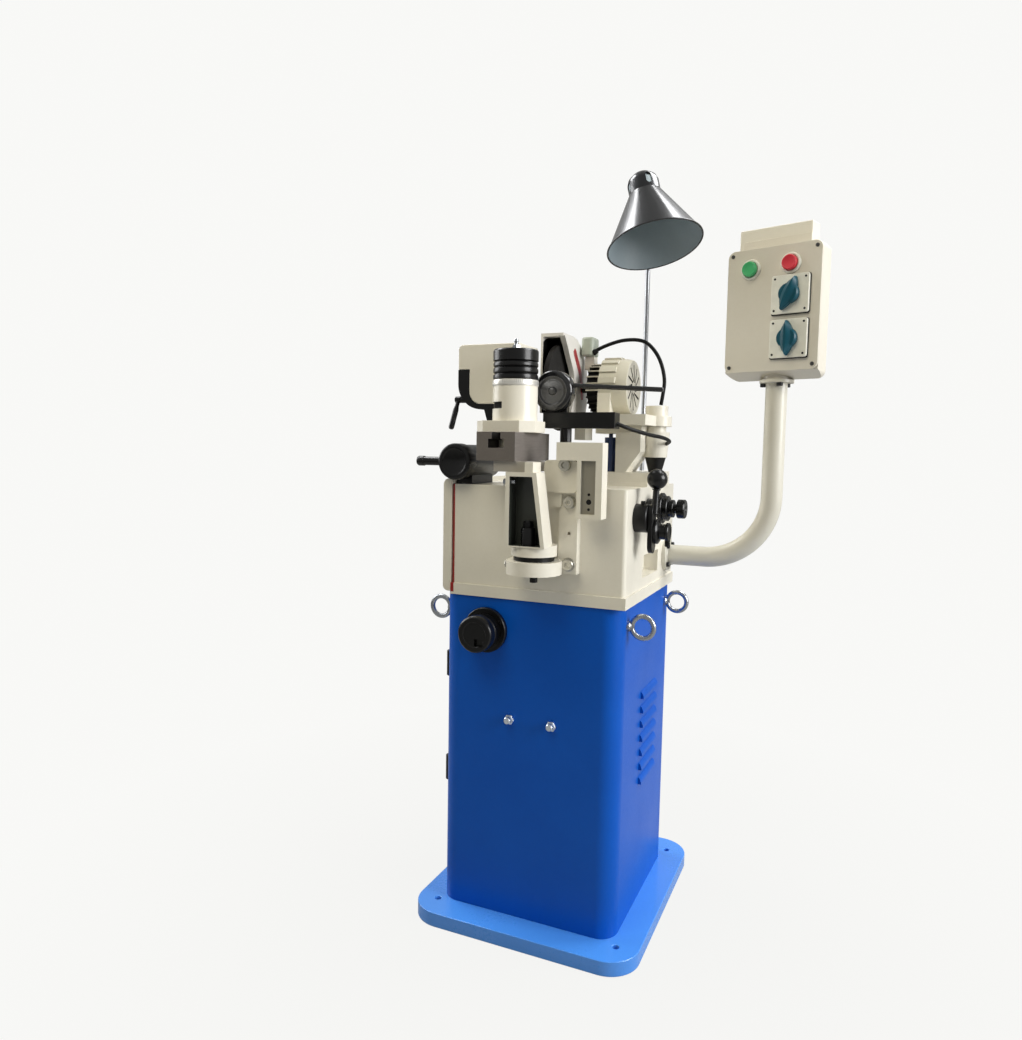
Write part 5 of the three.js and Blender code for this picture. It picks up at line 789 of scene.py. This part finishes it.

# T-slot block: a ground grey iron casting on the column's head, left bare and oiled, with an undercut slot
# across its top. The slot's inside faces are painted near-black as painted shade, and the block's underside is
# left as cast.
# Its first mark paints the slot's inside faces near-black: painted shade.
casting_grey = metal("ground_casting", tone(114, 108, 103), 0.5, (1, 0.05, 1), 500.0, bare=0.12, marks=(
    (lambda x, y, z: (x > -44.4) * (x < -15.6) * (z > 861) * (z < 887.2) * (y > -260.6), tone(22, 20, 19)),
    (lambda x, y, z: z < 840.2, tone(172, 167, 158)),
))
dress("tslot_block", casting_grey, 0.7)

# Feed head: a cream barrel on a flange keyed in the slot, a bright graduated ring, and over it the black
# dial of three grooved rings under a flat cap, with a grease nipple on top.
dial_x, dial_y, dial_top = -28, -191, 1024.6


def inside_barrel_notch(x, y, z):
    """1 on the faces of the notch in the barrel's left side."""
    from_axis = ((x - dial_x) ** 2 + (y - dial_y) ** 2) ** 0.5
    return (z > 926) * (z < 937.6) * (from_axis < 37.3) * (x < -30)


# The notch's faces take a near-black: painted shade in the notch.
head_enamel = sprayed_cream("feed_head_enamel", (inside_barrel_notch, tone(38, 36, 33)))
dress("feed_head", head_enamel, 0.9)
ring_divisions, line_share = 72, 0.12


def graduations(x, y, z):
    """1 on the engraved lines of the scale ring."""
    turn = x.math("ARCTAN2", y - dial_y, x - dial_x) * (ring_divisions / math.tau)
    return (x.math("FRACT", turn + 40.0) < line_share) * (z > 968.2) * (z < 973.6)


ring_metal = metal("satin_ring", tone(236, 234, 228), 0.32, (1, 1, 14), 320.0, bare=0.55,
                   marks=((graduations, tone(60, 60, 58)),))
made("scale_ring", turned([
    (36, 962.8), (37.4, 962.8), (37.4, 964.2), (38.6, 964.6), (38.9, 966), (38.9, 973), (38.3, 974), (36, 974),
], (dial_x, dial_y, 0), sides=96), ring_metal, "feed_slide")
made("feed_dial_turned", turned([
    (0, 974.6), (36.4, 974.6), (37.6, 976), (37.9, 979), (37.6, 982.2), (36.2, 983.6), (35.6, 984.4),
    (36.4, 985.4), (37.6, 986.6), (37.9, 989.6), (37.6, 992.8), (36.2, 994.2), (35.6, 995), (36.4, 996),
    (37.6, 997.2), (37.8, 1001), (36.6, 1003.4), (35.6, 1004.4), (36.8, 1005), (38, 1006), (38, 1022),
    (36.6, 1024), (35, dial_top), (0, dial_top),
], (dial_x, dial_y, 0), sides=96), black_plastic, "dial", ("feed_dial",))
nipple_at = (dial_x, dial_y, dial_top)
made("grease_nipple_turned", joined(
    turned([(0, 0), (7, 0), (7, 7), (6.2, 8), (0, 8)], nipple_at, sides=6),
    turned([(0, 7), (3.4, 7), (3, 11), (4, 14), (4, 16), (3, 18), (1.4, 19), (0, 19)], nipple_at, sides=32),
), zinc, "dial", ("grease_nipple",))

# Rear housing: a hollow cream casting beside the feed head, on a black iron bracket that runs along its lower
# left edge. A black clamp handle with a turned grip is screwed into the bracket's side.
dress("rear_housing", cream_enamel, 1.6)
dress("housing_bracket", black_enamel, 0.8)
handle_at = Vector((-165.8, -134, 947.3))
handle_run = Vector((0, -0.466, -0.885))
made("clamp_handle_turned", joined(
    turned([(0, -5.5), (5.2, -5.5), (6, -4.8), (6, 4.8), (5.2, 5.5), (0, 5.5)], handle_at, (1, 0, 0), 40),
    turned([(0, 0), (3.6, 0), (3.8, 14), (5, 22), (5, 57), (4, 59.4), (2, 60), (0, 60)],
           handle_at, handle_run, 32),
), black_plastic, "housing_handle", ("clamp_handle",))

# Damper cylinder and its locking collar on the body's left shoulder: a black casting with a foot,
# and a turned collar on its front with a capped cross rod.
damper_x, damper_z = -139.4, 836.4
made("damper_casting", joined(
    turned([(0, 0), (28.6, 0), (30, 1.4), (30, 106), (29, 108), (27, 112), (0, 112)],
           (damper_x, -171.7, damper_z), (0, 1, 0), 96),
    slab(-152, -121.4, -163, -79, body_top, body_top + 16),
), black_enamel, "frame", ("damper_cylinder",), edge=0.6)
made("locking_collar_turned", joined(
    turned([
        (0, 3), (21, 3), (22, 2.4), (24, 0.4), (26, 0), (28.6, 0.4), (31, 2.4), (31.8, 5), (31.8, 26.6),
        (30.4, 28), (0, 28),
    ], (damper_x, -200, damper_z), (0, 1, 0), 96),
    turned([
        (0, 28), (7.6, 28), (7.6, 65), (8.8, 66), (8.8, 76.5), (7.6, 78.6), (5.2, 80), (0, 80.5),
    ], (damper_x, -186, damper_z), (-1, 0, 0), 48),
), black_plastic, "collar", ("locking_collar",))

# Right-angle bracket beside the column: a machined cream piece whose leg is relieved along its face and has
# three tapped holes in the relief; the relief is painted a darker cream and black discs sit in the holes, as
# painted shade. A cap screw under its arm holds it to the holder bracket.
groove_x, groove_floor_y = 113, -211.5
tapped_holes = ((2.4, 765), (4.4, 777), (2.4, 789))


def inside_groove(x, y, z):
    """1 on the faces of the leg's relief."""
    return (x > 100.6) * (x < 125.4) * (y > -217.6) * (y < -210.4) * (z > 757.4) * (z < 842.8)


# The relief's faces take a darker cream: painted shade in the groove.
relieved = sprayed_cream("angle_enamel", (inside_groove, tone(150, 146, 134)))
dress("angle_bracket", relieved, 0.9)
made("angle_groove_floor", carved(
    slab(101, 125, -212.2, -210.8, 757, 843),
    *[turned([(0, -3), (radius, -3), (radius, 3), (0, 3)], (groove_x, groove_floor_y, z), (0, 1, 0), 24)
      for radius, z in tapped_holes],
), relieved, "frame")
# Black discs in the tapped holes: painted shade for their depth.
made("angle_hole_painted_shade_discs", joined(*[
    turned([(0, 0), (radius + 0.6, 0), (radius + 0.6, 0.5), (0, 0.5)], (groove_x, -211.3, z), (0, -1, 0), 24)
    for radius, z in tapped_holes
]), black_plastic, "frame")
made("angle_screw", turned([
    (0, 3), (4.4, 3), (5, 7), (9, 7), (10, 6), (10, -1), (0, -1),
], (68, -202, 835), (0, -1, 0), 40), satin_screw, "frame")

# Index bar on its post, and the feed lever that turns in its bearing: a black casting, and a dished iron hub
# in glossy black with a long round rod screwed into it.
dress("index_bar", black_enamel, 0.8)
gloss_black = enamel("gloss_black", tone(18, 18, 19), tone(26, 26, 27), 0.16, 0.6, 0.2)
feed_x, feed_z, feed_slope = 18.6, 960, math.atan(0.061)
rod_run = (math.cos(feed_slope), 0, -math.sin(feed_slope))
made("feed_lever_turned", joined(
    turned([
        (0, 2.6), (19, 2.6), (21.6, 2), (24, 0.6), (25.4, 0), (30.5, 0), (33, 1), (34.6, 2.8), (35.5, 5.4),
        (35.5, 22), (0, 22),
    ], (feed_x, -142.3, feed_z), (0, 1, 0), 96),
    turned([(0, 0), (4, 0), (4, 188), (3, 190), (0, 190)], (feed_x, -131.3, feed_z + 11.5), rod_run, 32),
    turned([(0, -2), (7, -2), (7, 1.4), (5.6, 2.6), (0, 3)], (feed_x, -139.8, feed_z), (0, -1, 0), 40),
), gloss_black, "feed_arm", ("feed_lever",))

# Post, pedestal, jack and table behind: cream castings bolted together, which stand on the body by a black
# turned cone and carry the motor. A screw jack in dark blue enamel props the table.
dress("post_cone", black_enamel, 0.5)
dress("head_pedestal", cream_enamel, 0.9)
jack_enamel = enamel("jack_enamel", tone(20, 44, 90), tone(14, 34, 74), 0.4, 0.2, 0.4)
dress("support_jack", jack_enamel, 0.5)
dress("head_table", cream_enamel, 1.6)

# Motor: a finned body painted black between its fins and on its lower fin tips, as painted shade, with only its
# upper fin tips cream; a fan cowl in a darker copy of the cream, as painted shade, whose vent slots are painted
# near-black as painted shade; and a moulded grey-green terminal box on a cream pad.
motor_y, motor_z = 40, 977.3


def from_motor_axis(y, z):
    """How far a point lies from the motor's axis."""
    return ((y - motor_y) ** 2 + (z - motor_z) ** 2) ** 0.5


# Black between the fins and on the fin tips below the axis is painted shade; only the upper tips are cream.
motor_black = enamel(
    "motor_black", tone(16, 16, 15), tone(22, 22, 21), 0.5, 0.0, 0.8, 0.6, shine=0.25,
    marks=((lambda x, y, z: (from_motor_axis(y, z) > 44.4) * (z > 966), tone(196, 192, 178)),),
)
fin_count, fin_root, fin_tip = 22, 39.5, 46
fin_section = []
for i in range(fin_count):
    for radius, share in ((fin_root, 0.39), (fin_tip, 0.4), (fin_tip, 0.6), (fin_root, 0.61)):
        turn = math.tau * (i + share) / fin_count
        fin_section.append((motor_y + radius * math.cos(turn), motor_z + radius * math.sin(turn)))
made("motor_casing", joined(
    pushed(fin_section, 31.5, 58.4, "yz"),
    turned([(0, 0), (8, 0), (8, 22), (0, 22)], (10.8, motor_y, motor_z), (1, 0, 0), 48),
), motor_black, "grinding_head", ("motor_body",), edge=0.5)
made("terminal_pad", slab(17, 36, 30, 50, 1012, 1036.6), cream_enamel, "grinding_head",
     edge=1.2)
vent_radius = 46.5
# A darker copy of the cream, and near-black faces in the shallow vent slots: both painted shade.
cowl_painted_shade = enamel("cowl_enamel", tone(204, 200, 184), tone(196, 191, 174), 0.36, 0.2, 0.4, 0.5, marks=(
    (lambda x, y, z: (x > 109) * (from_motor_axis(y, z) < vent_radius), tone(186, 182, 168)),
    (lambda x, y, z: (x > 108) * (x < 110.6) * (from_motor_axis(y, z) < vent_radius - 1), tone(40, 39, 36)),
))
dress("motor_cowl", cowl_painted_shade, 1.8)
terminal_grey = enamel("terminal_grey", tone(170, 177, 164), tone(160, 167, 154), 0.45, 0.1, 0.6)
made("terminal_cover", pushed(rounded(13, 38, 15, 54, 8), 1036, 1072, "xy"),
     terminal_grey, "grinding_head", ("terminal_box",), edge=5)

# Spindle, grinding wheel and guard: a turned spindle, a vitrified wheel, and a cast guard, pale outside and
# painted near-black inside its hollow as painted shade, with a red trim line painted on the back's right face,
# along its curve.
dress("wheel_spindle", metal("turned_steel", tone(190, 192, 196), 0.3), 0.4)
dress("grinding_wheel", plastic("abrasive", tone(34, 33, 32), 0.9, 1.0, shine=0.2), 0.5)
guard_y, guard_z = -25, 974.3


def inside_guard(x, y, z):
    """1 on the faces inside the guard's hollow."""
    from_axis = ((y - guard_y) ** 2 + (z - guard_z) ** 2) ** 0.5
    return (x > -28.3) * (x < 1.3) * (y > -71.4) * (z < 1063) * (from_axis < 91.8)


# The faces inside the guard's hollow take a near-black: painted shade.
guard_paint = enamel("guard_enamel", tone(224, 221, 215), tone(214, 211, 205), 0.38, 0.2, 0.5,
                     marks=((inside_guard, tone(10, 9, 8)),))
dress("wheel_guard", guard_paint, 0.8)
line_half, line_end_half = 7, 5
stripe = [(-14, 1044.5), (6.7, 1022.2), (23.4, 1002.5), (32, 984), (37, 956)]
middles = smooth_line(stripe, 4)
left_edge, right_edge = [], []
for i, middle in enumerate(middles):
    ahead = (middles[min(i + 1, len(middles) - 1)] - middles[max(i - 1, 0)]).normalized()
    half = line_half if 0 < i < len(middles) - 1 else line_end_half
    left_edge.append((middle.x - ahead.y * half, middle.y + ahead.x * half))
    right_edge.append((middle.x + ahead.y * half, middle.y - ahead.x * half))
stripe_red = enamel("trim_red", tone(158, 34, 44), tone(146, 28, 38), 0.35, 0.2, 0.3)
made("guard_trim_line", pushed(left_edge + right_edge[::-1], 10.9, 11.4, "yz"),
     stripe_red, "grinding_head")

# Leads: black rubber-sheathed cable, from the terminal box's gland over the motor to the post's cap, and
# from the index bar's end round to the pedestal.
lead_rubber = plastic("lead_rubber", tone(11, 11, 11), 0.46, 0.4, shine=0.25)
made("motor_lead_sheath", swept([
    (36, 22, 1043.3), (52.5, 23, 1051.8), (71.4, 24, 1058.6), (92.1, 25, 1063.4), (116, 25, 1063.7),
    (133.8, 25, 1059.1), (148.3, 24, 1047.6), (161.2, 23, 1029.1), (169.5, 22, 1007.3), (173.2, 21, 985.6),
    (171.3, 20.5, 964.1), (168.4, 20, 944),
], 3.4, 5, 20), lead_rubber, "grinding_head", ("motor_lead",))
made("motor_lead_gland", turned([
    (0, -2), (5.6, -2), (5.6, 2.4), (4.8, 4), (4.2, 7), (0, 7),
], (38, 22, 1043.3), (0.89, 0.05, 0.46), 32), black_plastic, "grinding_head")
dress("lower_lead", lead_rubber, 0)
